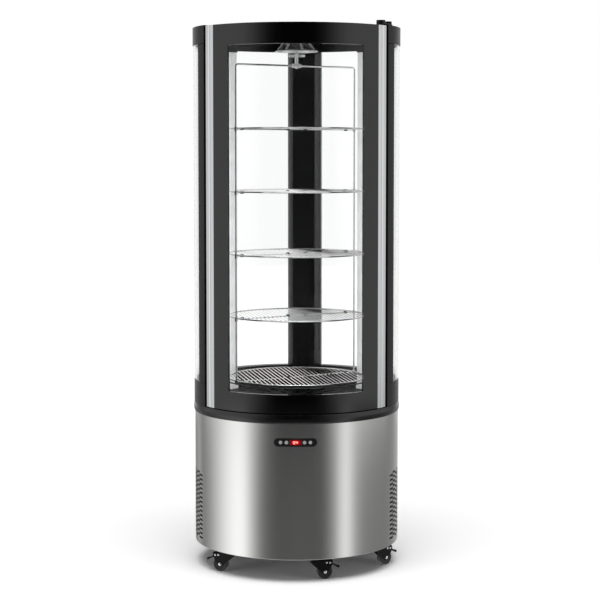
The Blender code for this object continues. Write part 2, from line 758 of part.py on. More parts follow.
def right_post():
    """A post with the flange beside it that the gasket closes on."""
    post = swept(
        block((BODY_RADIUS - POST_WALL, WINDOW_BOTTOM), (BODY_RADIUS, WINDOW_TOP)),
        POST_START,
        POST_END,
    )
    foot = BAND_BOTTOM + SILL_HEIGHT + SEAT_GAP
    head = CAP_BOTTOM - FASCIA_DROP - SEAT_GAP
    heel = WINDOW_BOTTOM + FLANGE_STEP
    outline = [
        (FLANGE_START, foot),
        (FLANGE_FOOT_END, foot),
        (FLANGE_FOOT_END, heel),
        (FLANGE_END, heel),
        (FLANGE_END, head),
        (FLANGE_START, head),
    ]
    return fused(post, wrapped(outline, LINER_RADIUS - FLANGE_WALL, LINER_RADIUS))


def top_cap():
    shell = [
        (0, ROOF_BOTTOM),
        (CASE_RADIUS - CAP_WALL, ROOF_BOTTOM),
        (CASE_RADIUS - CAP_WALL, CAP_BOTTOM),
        (CASE_RADIUS, CAP_BOTTOM),
        (CASE_RADIUS, CAP_TOP),
        (0, CAP_TOP),
    ]
    fascia = swept(
        block(
            (LINER_RADIUS - FASCIA_WALL, CAP_BOTTOM - FASCIA_DROP),
            (LINER_RADIUS + OVERRUN, ROOF_BOTTOM + SINK),
        ),
        -FASCIA_END,
        FASCIA_END,
    )
    cheek = swept(
        block(
            (LINER_RADIUS - FASCIA_WALL / 2, CAP_BOTTOM),
            (CASE_RADIUS - CAP_WALL / 2, ROOF_BOTTOM + 2 * SINK),
        ),
        2 * NOTCH_AZIMUTH - CHEEK_END,
        CHEEK_END,
    )
    notch = swept(
        block((LINER_RADIUS, CAP_BOTTOM - OVERRUN), (CASE_RADIUS + OVERRUN, CAP_TOP + OVERRUN)),
        -NOTCH_AZIMUTH,
        NOTCH_AZIMUTH,
    )
    return cut(fused(turned(shell), fascia, cheek, mirrored(cheek)), notch)


def side_glass(column_azimuth):
    """The right-hand pane, from the post's edge to the side of a column at an azimuth."""
    inner = GLASS_RADIUS - GLASS_WALL
    column_side = asin((COLUMN_HALF + 2 * SEAT_GAP) / inner)
    start = POST_END + SEAT_GAP / GLASS_RADIUS
    profile = block((inner, WINDOW_BOTTOM), (GLASS_RADIUS, WINDOW_TOP))
    return swept(profile, start, column_azimuth - column_side)


def rear_column():
    """A bevelled column from the cabinet floor to the roof, rounded to the glass behind."""
    outline = [
        (-COLUMN_FACE_HALF, -COLUMN_FACE),
        (COLUMN_FACE_HALF, -COLUMN_FACE),
        (COLUMN_HALF, -COLUMN_SHOULDER),
        (COLUMN_HALF, -CASE_RADIUS),
        (-COLUMN_HALF, -CASE_RADIUS),
        (-COLUMN_HALF, -COLUMN_SHOULDER),
    ]
    bar = plate(outline, DECK_TOP - OVERRUN, CAP_TOP)
    foot = DECK_TOP + SEAT_GAP
    head = ROOF_BOTTOM - SEAT_GAP
    inner = BORE_RADIUS - 2 * SEAT_GAP
    upper = CASE_RADIUS - CAP_WALL - SINK
    limits = turned(
        [
            (0, foot),
            (inner, foot),
            (inner, WINDOW_BOTTOM),
            (GLASS_RADIUS, WINDOW_BOTTOM),
            (GLASS_RADIUS, WINDOW_TOP),
            (upper, WINDOW_TOP),
            (upper, head),
            (0, head),
        ]
    )
    column = combined(moved(bar, facing(COLUMN_AZIMUTH)), limits, "INTERSECT")
    slots = []
    for index in range(COLUMN_SLOTS):
        bottom = WINDOW_BOTTOM + COLUMN_SLOT_LIFT + index * COLUMN_SLOT_PITCH
        low = (-COLUMN_SLOT_WIDTH / 2, -COLUMN_FACE - COLUMN_SLOT_DEPTH, bottom)
        high = (COLUMN_SLOT_WIDTH / 2, OVERRUN - COLUMN_FACE, bottom + COLUMN_SLOT_HEIGHT)
        slots.append(moved(box(low, high), facing(COLUMN_AZIMUTH)))
    return cut(column, grouped(slots))


def light_strip(azimuth):
    low = (-LAMP_WIDTH / 2, -LAMP_RADIUS - LAMP_DEPTH / 2, DECK_TOP + SEAT_GAP)
    high = (LAMP_WIDTH / 2, LAMP_DEPTH / 2 - LAMP_RADIUS, ROOF_BOTTOM - SEAT_GAP)
    return moved(box(low, high), facing(azimuth))


# Door

def hinge_point():
    return polar(HINGE_RADIUS, HINGE_AZIMUTH)


def door_frame():
    outer = BODY_RADIUS - DOOR_GLASS_WALL - SEAT_GAP
    frame = swept(block((FRAME_INNER_RADIUS, DOOR_BOTTOM), (outer, DOOR_TOP)), -FRAME_HALF, FRAME_HALF)
    opening = swept(
        block(
            (FRAME_INNER_RADIUS - OVERRUN, DOOR_BOTTOM + OPENING_LIFT),
            (outer + OVERRUN, DOOR_TOP - OPENING_DROP),
        ),
        -OPENING_HALF,
        OPENING_HALF,
    )
    return cut(frame, opening)


def door_glass():
    profile = block(
        (BODY_RADIUS - DOOR_GLASS_WALL, DOOR_BOTTOM + DOOR_GLASS_INSET),
        (BODY_RADIUS, DOOR_TOP - DOOR_GLASS_INSET),
    )
    return swept(profile, -FRAME_HALF, FRAME_HALF)


def door_strip():
    """An upright strip beside the frame, from the frame's edge to the door's edge."""
    profile = block((FRAME_INNER_RADIUS, DOOR_BOTTOM), (BODY_RADIUS, DOOR_TOP - DOOR_GLASS_INSET))
    return swept(profile, FRAME_HALF + STRIP_GAP_ANGLE, DOOR_HALF)


def hinge_strip():
    """The strip on the right, drilled for both hinge pins."""
    hole_radius = HINGE_PIN_RADIUS + TURNING_GAP
    depth = HINGE_PIN_REACH + HINGE_PIN_END_GAP
    lower = cylinder(hole_radius, DOOR_BOTTOM - OVERRUN, DOOR_BOTTOM + depth, CASTER_SIDES)
    upper = cylinder(hole_radius, DOOR_TOP - depth, DOOR_TOP + OVERRUN, CASTER_SIDES)
    holes = moved(grouped([lower, upper]), Matrix.Translation(hinge_point()))
    return cut(door_strip(), holes)


def door_gasket():
    inner = LINER_RADIUS + SEAT_GAP
    outer = FRAME_INNER_RADIUS - SEAT_GAP
    bottom = DOOR_BOTTOM + GASKET_INSET
    top = DOOR_TOP - GASKET_TOP_INSET
    seal = swept(block((inner, bottom), (outer, top)), -GASKET_HALF, GASKET_HALF)
    hole = swept(
        block(
            (inner - OVERRUN, bottom + GASKET_BAND),
            (outer + OVERRUN, top - GASKET_BAND),
        ),
        -GASKET_INNER_HALF,
        GASKET_INNER_HALF,
    )
    return cut(seal, hole)


def top_hinge():
    """A bracket on the cap that reaches over the notch and holds the upper pin."""
    bottom = CAP_TOP + SEAT_GAP
    top = bottom + BRACKET_WALL
    pivot = hinge_point()
    anchor = polar(ANCHOR_RADIUS, ANCHOR_AZIMUTH)
    along = atan2(anchor.y - pivot.y, anchor.x - pivot.x)
    near = arc(pivot.xy, BRACKET_RADIUS, along + pi / 2, along + 3 * pi / 2, STADIUM_ARC_STEPS)
    far = arc(anchor.xy, BRACKET_RADIUS, along - pi / 2, along + pi / 2, STADIUM_ARC_STEPS)
    strap = plate(near + far, bottom, top)
    pin = turned(
        [
            (0, DOOR_TOP - HINGE_PIN_REACH),
            (HINGE_PIN_RADIUS, DOOR_TOP - HINGE_PIN_REACH),
            (HINGE_PIN_RADIUS, top - SINK),
            (BRACKET_KNUCKLE_RADIUS, top - SINK),
            (BRACKET_KNUCKLE_RADIUS, bottom + BRACKET_KNUCKLE_HEIGHT),
            (0, bottom + BRACKET_KNUCKLE_HEIGHT),
        ],
        CASTER_SIDES,
    )
    screw = cylinder(BRACKET_SCREW_RADIUS, top - SINK, bottom + BRACKET_SCREW_HEIGHT, CASTER_SIDES)
    return fused(
        strap, moved(pin, Matrix.Translation(pivot)), moved(screw, Matrix.Translation(anchor))
    )


def bottom_hinge_pin():
    stub = RING_TOP - HINGE_STUB_DEPTH
    seat = RING_TOP + SEAT_GAP
    washer = DOOR_BOTTOM - SEAT_GAP
    tip = DOOR_BOTTOM + HINGE_PIN_REACH
    profile = [
        (0, stub),
        (HINGE_PIN_RADIUS, stub),
        (HINGE_PIN_RADIUS, seat),
        (WASHER_RADIUS, seat),
        (WASHER_RADIUS, washer),
        (HINGE_PIN_RADIUS, washer),
        (HINGE_PIN_RADIUS, tip),
        (0, tip),
    ]
    return moved(turned(profile, CASTER_SIDES), Matrix.Translation(hinge_point()))


# Control panel

def button_azimuth(offset):
    return asin(offset / PANEL_RADIUS)


def button_frame(offset):
    """Carries a shape built up +Z to a button's place, square to the panel's face."""
    azimuth = button_azimuth(offset)
    return shift(0, 0, PANEL_MIDDLE) @ facing(azimuth) @ OUTWARD


def display_sector(clearance, inner, outer):
    half_angle = asin(DISPLAY_WIDTH / 2 / PANEL_RADIUS) + clearance / PANEL_RADIUS
    half_height = DISPLAY_HEIGHT / 2 + clearance
    profile = block((inner, PANEL_MIDDLE - half_height), (outer, PANEL_MIDDLE + half_height))
    return swept(profile, -half_angle, half_angle)


def control_panel():
    half_angle = asin(PANEL_WIDTH / PANEL_RADIUS)
    low = PANEL_MIDDLE - PANEL_HEIGHT
    high = PANEL_MIDDLE + PANEL_HEIGHT
    curved = swept(
        block((PANEL_RADIUS - PANEL_WALL, low), (PANEL_RADIUS, high)), -half_angle, half_angle
    )
    panel = combined(curved, panel_prism(0), "INTERSECT")
    holes = []
    for offset in BUTTON_OFFSETS:
        hole = cylinder(
            BUTTON_RADIUS + SEAT_GAP,
            PANEL_RADIUS - PANEL_WALL - OVERRUN,
            PANEL_RADIUS + OVERRUN,
            BUTTON_SIDES,
        )
        holes.append(moved(hole, button_frame(offset)))
    recess_floor = PANEL_RADIUS - DISPLAY_INSET - DISPLAY_WALL - SEAT_GAP
    recess = display_sector(SEAT_GAP, recess_floor, PANEL_RADIUS + OVERRUN)
    return cut(panel, grouped(holes + [recess]))


def display_window():
    outer = PANEL_RADIUS - DISPLAY_INSET
    return display_sector(0, outer - DISPLAY_WALL, outer)


def button():
    """A button from its flange behind the panel to its face, built up its own axis."""
    back = PANEL_WALL + BUTTON_TRAVEL_GAP
    profile = [
        (0, -back - BUTTON_FLANGE_WALL),
        (BUTTON_FLANGE_RADIUS, -back - BUTTON_FLANGE_WALL),
        (BUTTON_FLANGE_RADIUS, -back),
        (BUTTON_RADIUS, -back),
        (BUTTON_RADIUS, BUTTON_PROUD),
        (0, BUTTON_PROUD),
    ]
    return turned(profile, BUTTON_SIDES)


# Rack and its drive

def drive_motor():
    body_bottom = DRIVE_TOP - MOTOR_HEIGHT
    profile = [
        (0, DRIVE_TOP),
        (MOTOR_RADIUS, DRIVE_TOP),
        (MOTOR_RADIUS, body_bottom),
        (MOTOR_BOSS_RADIUS, body_bottom),
        (MOTOR_BOSS_RADIUS, BOSS_BOTTOM),
        (0, BOSS_BOTTOM),
    ]
    return turned(profile, BUTTON_SIDES)


def motor_canopy():
    """A thin bell, open at both ends, that flares towards its mouth."""
    outside = []
    for step in range(CANOPY_STEPS + 1):
        share = step / CANOPY_STEPS
        flare = (CANOPY_RADIUS - CANOPY_NECK_RADIUS) * share**CANOPY_FLARE_POWER
        outside.append((CANOPY_NECK_RADIUS + flare, DRIVE_TOP - CANOPY_HEIGHT * share))
    inside = [(radius - CANOPY_WALL, height) for radius, height in reversed(outside)]
    return turned(outside + inside, CANOPY_SIDES)


def star(radius, points):
    """A knob's outline of round-looking lobes."""
    outline = []
    for index in range(2 * points):
        reach = radius if index % 2 == 0 else radius * STAR_NUT_ROOT_SHARE
        angle = index * pi / points
        outline.append((reach * cos(angle), reach * sin(angle)))
    return outline


def clamp_floor():
    return BAR_HEIGHT - CLAMP_BELOW + CLAMP_FLOOR


def drive_shaft():
    coupling_bottom = COUPLING_TOP - COUPLING_HEIGHT
    nut_top = COUPLING_TOP - STAR_NUT_DROP
    end = clamp_floor() + SEAT_GAP
    profile = [
        (0, COUPLING_TOP),
        (COUPLING_RADIUS, COUPLING_TOP),
        (COUPLING_RADIUS, coupling_bottom),
        (SHAFT_RADIUS, coupling_bottom),
        (SHAFT_RADIUS, end),
        (0, end),
    ]
    nut = plate(star(STAR_NUT_RADIUS, STAR_NUT_POINTS), nut_top - STAR_NUT_HEIGHT, nut_top)
    return fused(turned(profile, CASTER_SIDES), nut)


def shelf_heights():
    """Middle of each shelf's rim, the highest shelf first."""
    lowest = DECK_TOP + SHELF_LOWEST
    return [lowest + index * SHELF_PITCH for index in reversed(range(SHELF_COUNT))]


def rack_path():
    """Up the left rod, along the bar and down the right rod."""
    foot = shelf_heights()[-1] - RACK_FOOT_DROP
    reach = RACK_HALF_WIDTH - RACK_CORNER_RADIUS
    corner = BAR_HEIGHT - RACK_CORNER_RADIUS
    left = arc((-reach, corner), RACK_CORNER_RADIUS, pi, pi / 2, RACK_CORNER_STEPS)
    right = arc((reach, corner), RACK_CORNER_RADIUS, pi / 2, 0, RACK_CORNER_STEPS)
    path = [(-RACK_HALF_WIDTH, foot)] + left + right + [(RACK_HALF_WIDTH, foot)]
    return [(x, 0, height) for x, height in path]


def rack_frame():
    """The bent wire with its clamp and the collars that carry the shelves."""
    clamp = box(
        (-CLAMP_LENGTH / 2, -CLAMP_DEPTH / 2, BAR_HEIGHT - CLAMP_BELOW),
        (CLAMP_LENGTH / 2, CLAMP_DEPTH / 2, BAR_HEIGHT + CLAMP_ABOVE),
    )
    socket = cylinder(
        SHAFT_RADIUS + SEAT_GAP, clamp_floor(), BAR_HEIGHT + CLAMP_ABOVE + OVERRUN, CASTER_SIDES
    )
    collars = []
    for height in shelf_heights():
        top = height - SLEEVE_HEIGHT / 2 - SEAT_GAP
        for side in (-1, 1):
            collar = cylinder(COLLAR_RADIUS, top - COLLAR_HEIGHT, top, COLLAR_SIDES)
            turn = facing(pi / COLLAR_SIDES)
            collars.append(moved(collar, shift(side * RACK_HALF_WIDTH, 0, 0), turn))
    frame = wire(rack_path(), RACK_WIRE_RADIUS, WIRE_ROUNDNESS)
    return fused(cut(fused(frame, clamp), socket), grouped(collars))


def shelf():
    """A wire shelf round its own middle, with a sleeve for each rod."""
    turns = [step * 2 * pi / SHELF_RIM_STEPS for step in range(SHELF_RIM_STEPS)]
    circle = [(SHELF_RADIUS * cos(turn), SHELF_RADIUS * sin(turn), 0) for turn in turns]
    rim = wire(circle, SHELF_WIRE_RADIUS, WIRE_ROUNDNESS, closed=True)
    rods = []
    pitch = 2 * SHELF_MESH_REACH / (SHELF_MESH_WIRES - 1)
    for index in range(SHELF_MESH_WIRES):
        x = index * pitch - SHELF_MESH_REACH
        reach = (SHELF_RADIUS**2 - x**2) ** 0.5
        rods.append(wire([(x, -reach, 0), (x, reach, 0)], SHELF_MESH_RADIUS, MESH_ROUNDNESS))
    drop = 2 * SHELF_MESH_RADIUS - SINK
    crossing = wire(
        [(-SHELF_RADIUS, 0, -drop), (SHELF_RADIUS, 0, -drop)], SHELF_MESH_RADIUS, MESH_ROUNDNESS
    )
    bore = (RACK_WIRE_RADIUS + SEAT_GAP) / cos(pi / SLEEVE_SIDES)
    profile = block((bore, -SLEEVE_HEIGHT / 2), (SLEEVE_RADIUS, SLEEVE_HEIGHT / 2))
    sleeves = []
    for side in (-1, 1):
        sleeves.append(moved(turned(profile, SLEEVE_SIDES), shift(side * RACK_HALF_WIDTH, 0, 0)))
    return fused(rim, grouped(rods), crossing, grouped(sleeves))


def rack_bumper_ring():
    inner = RACK_HALF_WIDTH + COLLAR_RADIUS + SEAT_GAP
    top = shelf_heights()[-1] - BUMPER_DROP
    return turned(block((inner, top - BUMPER_HEIGHT), (inner + BUMPER_WALL, top)), SHELF_RIM_STEPS)


# Refrigeration unit

def finned_block(length, depth, height, fins, fin_reach):
    """A block with fins along both long faces, standing on z = 0."""
    pitch = (length - FIN_WALL) / (fins - 1)
    front = []
    for index in range(fins):
        start = index * pitch - length / 2
        front += [(start, -depth / 2), (start + FIN_WALL, -depth / 2)]
        if index < fins - 1:
            front += [
                (start + FIN_WALL, fin_reach - depth / 2),
                (start + pitch, fin_reach - depth / 2),
            ]
    back = [(-x, -y) for x, y in front]
    return plate(front + back, 0, height)


def condenser():
    turn = Matrix.Rotation(pi / 2, 4, "Z")
    fins = finned_block(
        CONDENSER_WIDTH, CONDENSER_DEPTH, CONDENSER_HEIGHT, CONDENSER_FINS, FIN_REACH
    )
    return moved(fins, shift(CONDENSER_X, 0, UNIT_BOTTOM), turn)


def evaporator():
    fins = finned_block(
        EVAPORATOR_LENGTH,
        EVAPORATOR_WIDTH,
        EVAPORATOR_HEIGHT,
        EVAPORATOR_FINS,
        EVAPORATOR_FIN_REACH,
    )
    return moved(fins, shift(0, 0, DECK_TOP - WELL_DEPTH + SEAT_GAP))


def compressor():
    """A domed can on a square foot."""
    profile = [(0, 0)]
    for radius_share, height_share in zip(COMPRESSOR_RADIUS_SHARES, COMPRESSOR_HEIGHT_SHARES):
        profile.append((COMPRESSOR_RADIUS * radius_share, COMPRESSOR_HEIGHT * height_share))
    profile.append((0, COMPRESSOR_HEIGHT))
    can = turned(profile, COMPRESSOR_SIDES)
    half = COMPRESSOR_FOOT / 2
    foot = box((-half, -half, 0), (half, half, COMPRESSOR_FOOT_WALL))
    can = moved(can, shift(0, 0, COMPRESSOR_FOOT_WALL - SINK))
    return moved(fused(foot, can), shift(COMPRESSOR_X, 0, UNIT_BOTTOM))


def fan_shroud():
    """The condenser's cowl, with the fan's motor and shaft on a cross of two bars."""
    half = CONDENSER_WIDTH / 2
    cowl = box(
        (SHROUD_FACE_X, -half, UNIT_BOTTOM),
        (SHROUD_BACK_X, half, UNIT_BOTTOM + CONDENSER_HEIGHT),
    )
    bore = cylinder(
        SHROUD_BORE_RADIUS, SHROUD_FACE_X - OVERRUN, SHROUD_BACK_X + OVERRUN, SHROUD_BORE_SIDES
    )
    bore = moved(bore, shift(0, 0, FAN_HEIGHT), SIDEWAYS)
    reach = SHROUD_BORE_RADIUS + OVERRUN
    low_x = SHROUD_BACK_X - 2 * SINK
    high_x = SHROUD_BACK_X + SPIDER_DEPTH
    level = box(
        (low_x, -reach, FAN_HEIGHT - SPIDER_WIDTH / 2), (high_x, reach, FAN_HEIGHT + SPIDER_WIDTH / 2)
    )
    upright = box(
        (low_x - SINK, -SPIDER_WIDTH / 2, FAN_HEIGHT - reach),
        (high_x + SINK, SPIDER_WIDTH / 2, FAN_HEIGHT + reach),
    )
    profile = [
        (0, SHROUD_BACK_X - FAN_SHAFT_REACH),
        (FAN_SHAFT_RADIUS, SHROUD_BACK_X - FAN_SHAFT_REACH),
        (FAN_SHAFT_RADIUS, SHROUD_BACK_X),
        (FAN_MOTOR_RADIUS, SHROUD_BACK_X),
        (FAN_MOTOR_RADIUS, SHROUD_BACK_X + FAN_MOTOR_LENGTH),
        (0, SHROUD_BACK_X + FAN_MOTOR_LENGTH),
    ]
    motor = moved(turned(profile, CASTER_SIDES), shift(0, 0, FAN_HEIGHT), SIDEWAYS)
    return fused(cut(cowl, bore), level, upright, motor)


def blade(radius, hub_radius):
    """One twisted blade along +X, with its chord across the Z axis."""
    sections = []
    root = hub_radius - 2 * FAN_BLADE_WALL
    for share in FAN_SECTION_SHARES:
        reach = root + (radius - root) * share
        pitch = FAN_ROOT_PITCH + (FAN_TIP_PITCH - FAN_ROOT_PITCH) * share
        chord_share = FAN_ROOT_CHORD_SHARE + (FAN_TIP_CHORD_SHARE - FAN_ROOT_CHORD_SHARE) * share
        half = radius * chord_share / 2
        along = Vector((0, cos(pitch), sin(pitch))) * half
        across = Vector((0, -sin(pitch), cos(pitch))) * FAN_BLADE_WALL / 2
        middle = Vector((reach, 0, 0))
        signs = ((-1, -1), (1, -1), (1, 1), (-1, 1))
        sections.append([middle + along * a + across * b for a, b in signs])
    return bridged(sections, whole=False)


def fan(radius):
    """A bladed rotor round its own axis, bored for its shaft."""
    hub_radius = radius * FAN_HUB_SHARE
    bore = FAN_SHAFT_RADIUS + FAN_RUNNING_GAP
    half = FAN_HUB_LENGTH / 2
    hub = turned(block((bore, -half), (hub_radius, half)), FAN_HUB_SIDES)
    blades = []
    for index in range(FAN_BLADES):
        blades.append(moved(blade(radius, hub_radius), facing(index * 2 * pi / FAN_BLADES)))
    return fused(hub, grouped(blades))


def cable_gland():
    """A low strain-relief bush through the shell, bored for a lead."""
    wall_outside = SHELL_RADIUS * facet_share(GLAND_AZIMUTH)
    seat = wall_outside + SEAT_GAP
    profile = [
        (GLAND_BORE_RADIUS, wall_outside - GLAND_REACH),
        (GLAND_RADIUS, wall_outside - GLAND_REACH),
        (GLAND_RADIUS, seat),
        (GLAND_FLANGE_RADIUS, seat),
        (GLAND_FLANGE_RADIUS, seat + GLAND_FLANGE_WALL),
        (GLAND_RADIUS, seat + GLAND_FLANGE_WALL + GLAND_NOSE),
        (GLAND_BORE_RADIUS, seat + GLAND_FLANGE_WALL + GLAND_NOSE),
    ]
    return moved(turned(profile, GLAND_SIDES), gland_frame())


# Casters, built with the kingpin on the Z axis and the wheel trailing along +X

def across(mesh, reach, height):
    """Turns a shape built up +Z so that it lies across the fork, at a place along it."""
    return moved(mesh, shift(reach, 0, height), OUTWARD)


def fork(braked):
    """A pressed fork with its raceway, kingpin and axle."""
    tail = FORK_BRAKED_TAIL if braked else FORK_TAIL
    eye = (CASTER_TRAIL, WHEEL_RADIUS)
    nose = [(-FORK_NOSE, FORK_HEIGHT), (-FORK_NOSE, FORK_HEIGHT - FORK_NOSE_DEPTH)]
    below = arc(eye, AXLE_EYE_RADIUS, AXLE_EYE_START, AXLE_EYE_END, AXLE_EYE_STEPS)
    outline = nose + below + [(tail, FORK_HEIGHT - FORK_TAIL_DEPTH), (tail, FORK_HEIGHT)]
    profile = across(plate(outline, -FORK_OUTER, FORK_OUTER), 0, 0)
    space = box(
        (-FORK_NOSE - OVERRUN, -FORK_INNER, -OVERRUN),
        (tail + OVERRUN, FORK_INNER, FORK_HEIGHT - FORK_CROWN_WALL),
    )
    body = cut(profile, space)
    if braked:
        hole = cylinder(
            PEDAL_PIN_RADIUS + TURNING_GAP,
            -FORK_OUTER - OVERRUN,
            FORK_OUTER + OVERRUN,
            PEDAL_PIN_SIDES,
        )
        body = cut(body, across(hole, PEDAL_PIVOT_REACH, PEDAL_PIVOT_HEIGHT))
    head = PLATE_TOP + SEAT_GAP
    kingpin = [
        (0, FORK_HEIGHT - SINK),
        (RACEWAY_RADIUS, FORK_HEIGHT - SINK),
        (RACEWAY_RADIUS, PLATE_BOTTOM - SEAT_GAP),
        (KINGPIN_RADIUS, PLATE_BOTTOM - SEAT_GAP),
        (KINGPIN_RADIUS, head),
        (KINGPIN_HEAD_RADIUS, head),
        (KINGPIN_HEAD_RADIUS, head + KINGPIN_HEAD_HEIGHT),
        (0, head + KINGPIN_HEAD_HEIGHT),
    ]
    end = FORK_OUTER + AXLE_PROUD
    axle = across(cylinder(AXLE_RADIUS, -end, end, CASTER_SIDES), CASTER_TRAIL, WHEEL_RADIUS)
    return fused(body, turned(kingpin, CASTER_SIDES), axle)


def wheel():
    """A wheel round its own axle, which lies across the fork."""
    half = WHEEL_WIDTH / 2
    tread = WHEEL_RADIUS - WHEEL_EDGE
    profile = [
        (AXLE_RADIUS + TURNING_GAP, -half),
        (tread, -half),
        (WHEEL_RADIUS, WHEEL_EDGE - half),
        (WHEEL_RADIUS, half - WHEEL_EDGE),
        (tread, half),
        (AXLE_RADIUS + TURNING_GAP, half),
    ]
    return across(turned(profile, WHEEL_SIDES), 0, 0)


def pedal():
    """A brake pedal round its own pin: hub, sloping lever and upturned lip."""
    half = PEDAL_WALL / 2
    outline = arc((0, 0), PEDAL_HUB_RADIUS, PEDAL_HUB_START, PEDAL_HUB_END, PEDAL_HUB_STEPS)
    outline += [
        (PEDAL_HUB_RADIUS, -half),
        (PEDAL_LENGTH, -half),
        (PEDAL_LENGTH, half + PEDAL_LIP),
        (PEDAL_LENGTH - PEDAL_WALL, half + PEDAL_LIP),
        (PEDAL_LENGTH - PEDAL_WALL, half),
        (PEDAL_HUB_RADIUS, half),
    ]
    lever = plate(outline, -PEDAL_WIDTH / 2, PEDAL_WIDTH / 2)
    seat = FORK_OUTER + SEAT_GAP
    end = seat + PEDAL_RIVET_PROUD
    pin = turned(
        [
            (0, -end),
            (PEDAL_RIVET_RADIUS, -end),
            (PEDAL_RIVET_RADIUS, -seat),
            (PEDAL_PIN_RADIUS, -seat),
            (PEDAL_PIN_RADIUS, seat),
            (PEDAL_RIVET_RADIUS, seat),
            (PEDAL_RIVET_RADIUS, end),
            (0, end),
        ],
        PEDAL_PIN_SIDES,
    )
    slope = Matrix.Rotation(PEDAL_SLOPE, 4, "Z")
    return across(moved(fused(lever, pin), slope), 0, 0)


# Assembly

def finish_for(name):
    material = bpy.data.materials.get(name)
    if material is None:
        colour, roughness, metallic, transmission = FINISHES[name]
        material = bpy.data.materials.new(name)
        material.use_nodes = True
        shader = material.node_tree.nodes["Principled BSDF"]
        shader.inputs["Base Color"].default_value = (*colour, 1)
        shader.inputs["Roughness"].default_value = roughness
        shader.inputs["Metallic"].default_value = metallic
        shader.inputs["Transmission Weight"].default_value = transmission
        material.diffuse_color = (*colour, 1)
    return material


def anchor(name, place, turn=0.0, parent=None):
    """An empty on a joint's axis, which carries the pieces that move round it."""
    empty = bpy.data.objects.new(name, None)
    empty.location = place
    empty.rotation_euler.z = turn
    empty.parent = parent
    bpy.context.collection.objects.link(empty)
    return empty


def piece(name, mesh, finish, parent=None, place=(0, 0, 0), rotation=None):
    """A named object with its material. A mesh may serve several pieces."""
    if not mesh.materials:
        mesh.name = name
        mesh.materials.append(finish_for(finish))
        mesh.shade_smooth()
        mesh.set_sharp_from_angle(angle=SMOOTH_ANGLE)
    obj = bpy.data.objects.new(name, mesh)
    obj.location = place
    if rotation is not None:
        obj.rotation_euler = rotation
    obj.parent = parent
    bpy.context.collection.objects.link(obj)
    return obj


def build_base():
    piece("base_shell", base_shell(), "brushed_steel")
    piece("base_plate", base_plate(), "zinc_steel")
    piece("base_ring", base_ring(), "black_plastic")
    piece("deck", deck(), "black_enamel")
    piece("deck_grille", deck_grille(), "black_plastic")
    piece("cable_gland", cable_gland(), "black_plastic")
    piece("control_panel", control_panel(), "black_plastic")
    piece("display_window", display_window(), "display_lens")
    cap = button()
    for index, offset in enumerate(BUTTON_OFFSETS):
        azimuth = button_azimuth(offset)
        place = polar(PANEL_RADIUS * facet_share(azimuth), azimuth, PANEL_MIDDLE)
        turn = (facing(azimuth) @ OUTWARD).to_euler()
        piece("button_" + str(index + 1), cap, "black_plastic", place=place, rotation=turn)


def build_unit():
    piece("compressor", compressor(), "black_enamel")
    piece("condenser", condenser(), "coil_metal")
    piece("fan_shroud", fan_shroud(), "zinc_steel")
    middle = (SHROUD_FACE_X + SHROUD_BACK_X) / 2 - SINK
    turn = SIDEWAYS.to_euler()
    rotor = fan(SHROUD_BORE_RADIUS * FAN_SWEEP_SHARE)
    piece("condenser_fan", rotor, "black_plastic", place=(middle, 0, FAN_HEIGHT), rotation=turn)
    piece("evaporator", evaporator(), "coil_metal")
    shaft_top = DECK_TOP + SEAT_GAP - WELL_MOTOR_LENGTH
    hub_middle = shaft_top - (WELL_SHAFT_REACH + FAN_HUB_LENGTH) / 2 + 2 * SINK
    piece("evaporator_fan", fan(WELL_FAN_RADIUS), "black_plastic", place=(0, 0, hub_middle))


def build_cabinet():
    piece("lower_band", lower_band(), "black_enamel")
    post = right_post()
    other = mirrored(post)
    piece("right_post", post, "black_enamel")
    piece("left_post", other, "black_enamel")
    piece("right_glass", side_glass(COLUMN_AZIMUTH), "clear_glass")
    piece("left_glass", mirrored(side_glass(2 * pi - COLUMN_AZIMUTH)), "clear_glass")
    piece("rear_column", rear_column(), "black_enamel")
    piece("top_cap", top_cap(), "black_enamel")
    piece("led_right", light_strip(pi - LAMP_AZIMUTH), "lamp_cover")
    piece("led_left", light_strip(pi + LAMP_AZIMUTH), "lamp_cover")
    piece("top_hinge", top_hinge(), "black_enamel")
    piece("bottom_hinge_pin", bottom_hinge_pin(), "zinc_steel")


def build_door():
    place = hinge_point()
    axis = anchor("door_axis", place)
    right_strip = hinge_strip()
    left_strip = mirrored(door_strip())
    piece("door_frame", door_frame(), "black_enamel", axis, -place)
    piece("door_glass", door_glass(), "clear_glass", axis, -place)
    piece("handle_strip", left_strip, "bright_strip", axis, -place)
    piece("hinge_strip", right_strip, "bright_strip", axis, -place)
    piece("door_gasket", door_gasket(), "gasket_rubber", axis, -place)


def build_rack():
    piece("drive_motor", drive_motor(), "black_enamel")
    piece("motor_canopy", motor_canopy(), "chrome")
    axis = anchor("rack_axis", (0, 0, 0), RACK_TURN)
    piece("drive_shaft", drive_shaft(), "chrome", axis)
    piece("rack_frame", rack_frame(), "chrome", axis)
    grid = shelf()
    for index, height in enumerate(shelf_heights()):
        piece("shelf_" + str(index + 1), grid, "chrome", axis, (0, 0, height))
    piece("rack_bumper_ring", rack_bumper_ring(), "black_plastic", axis)


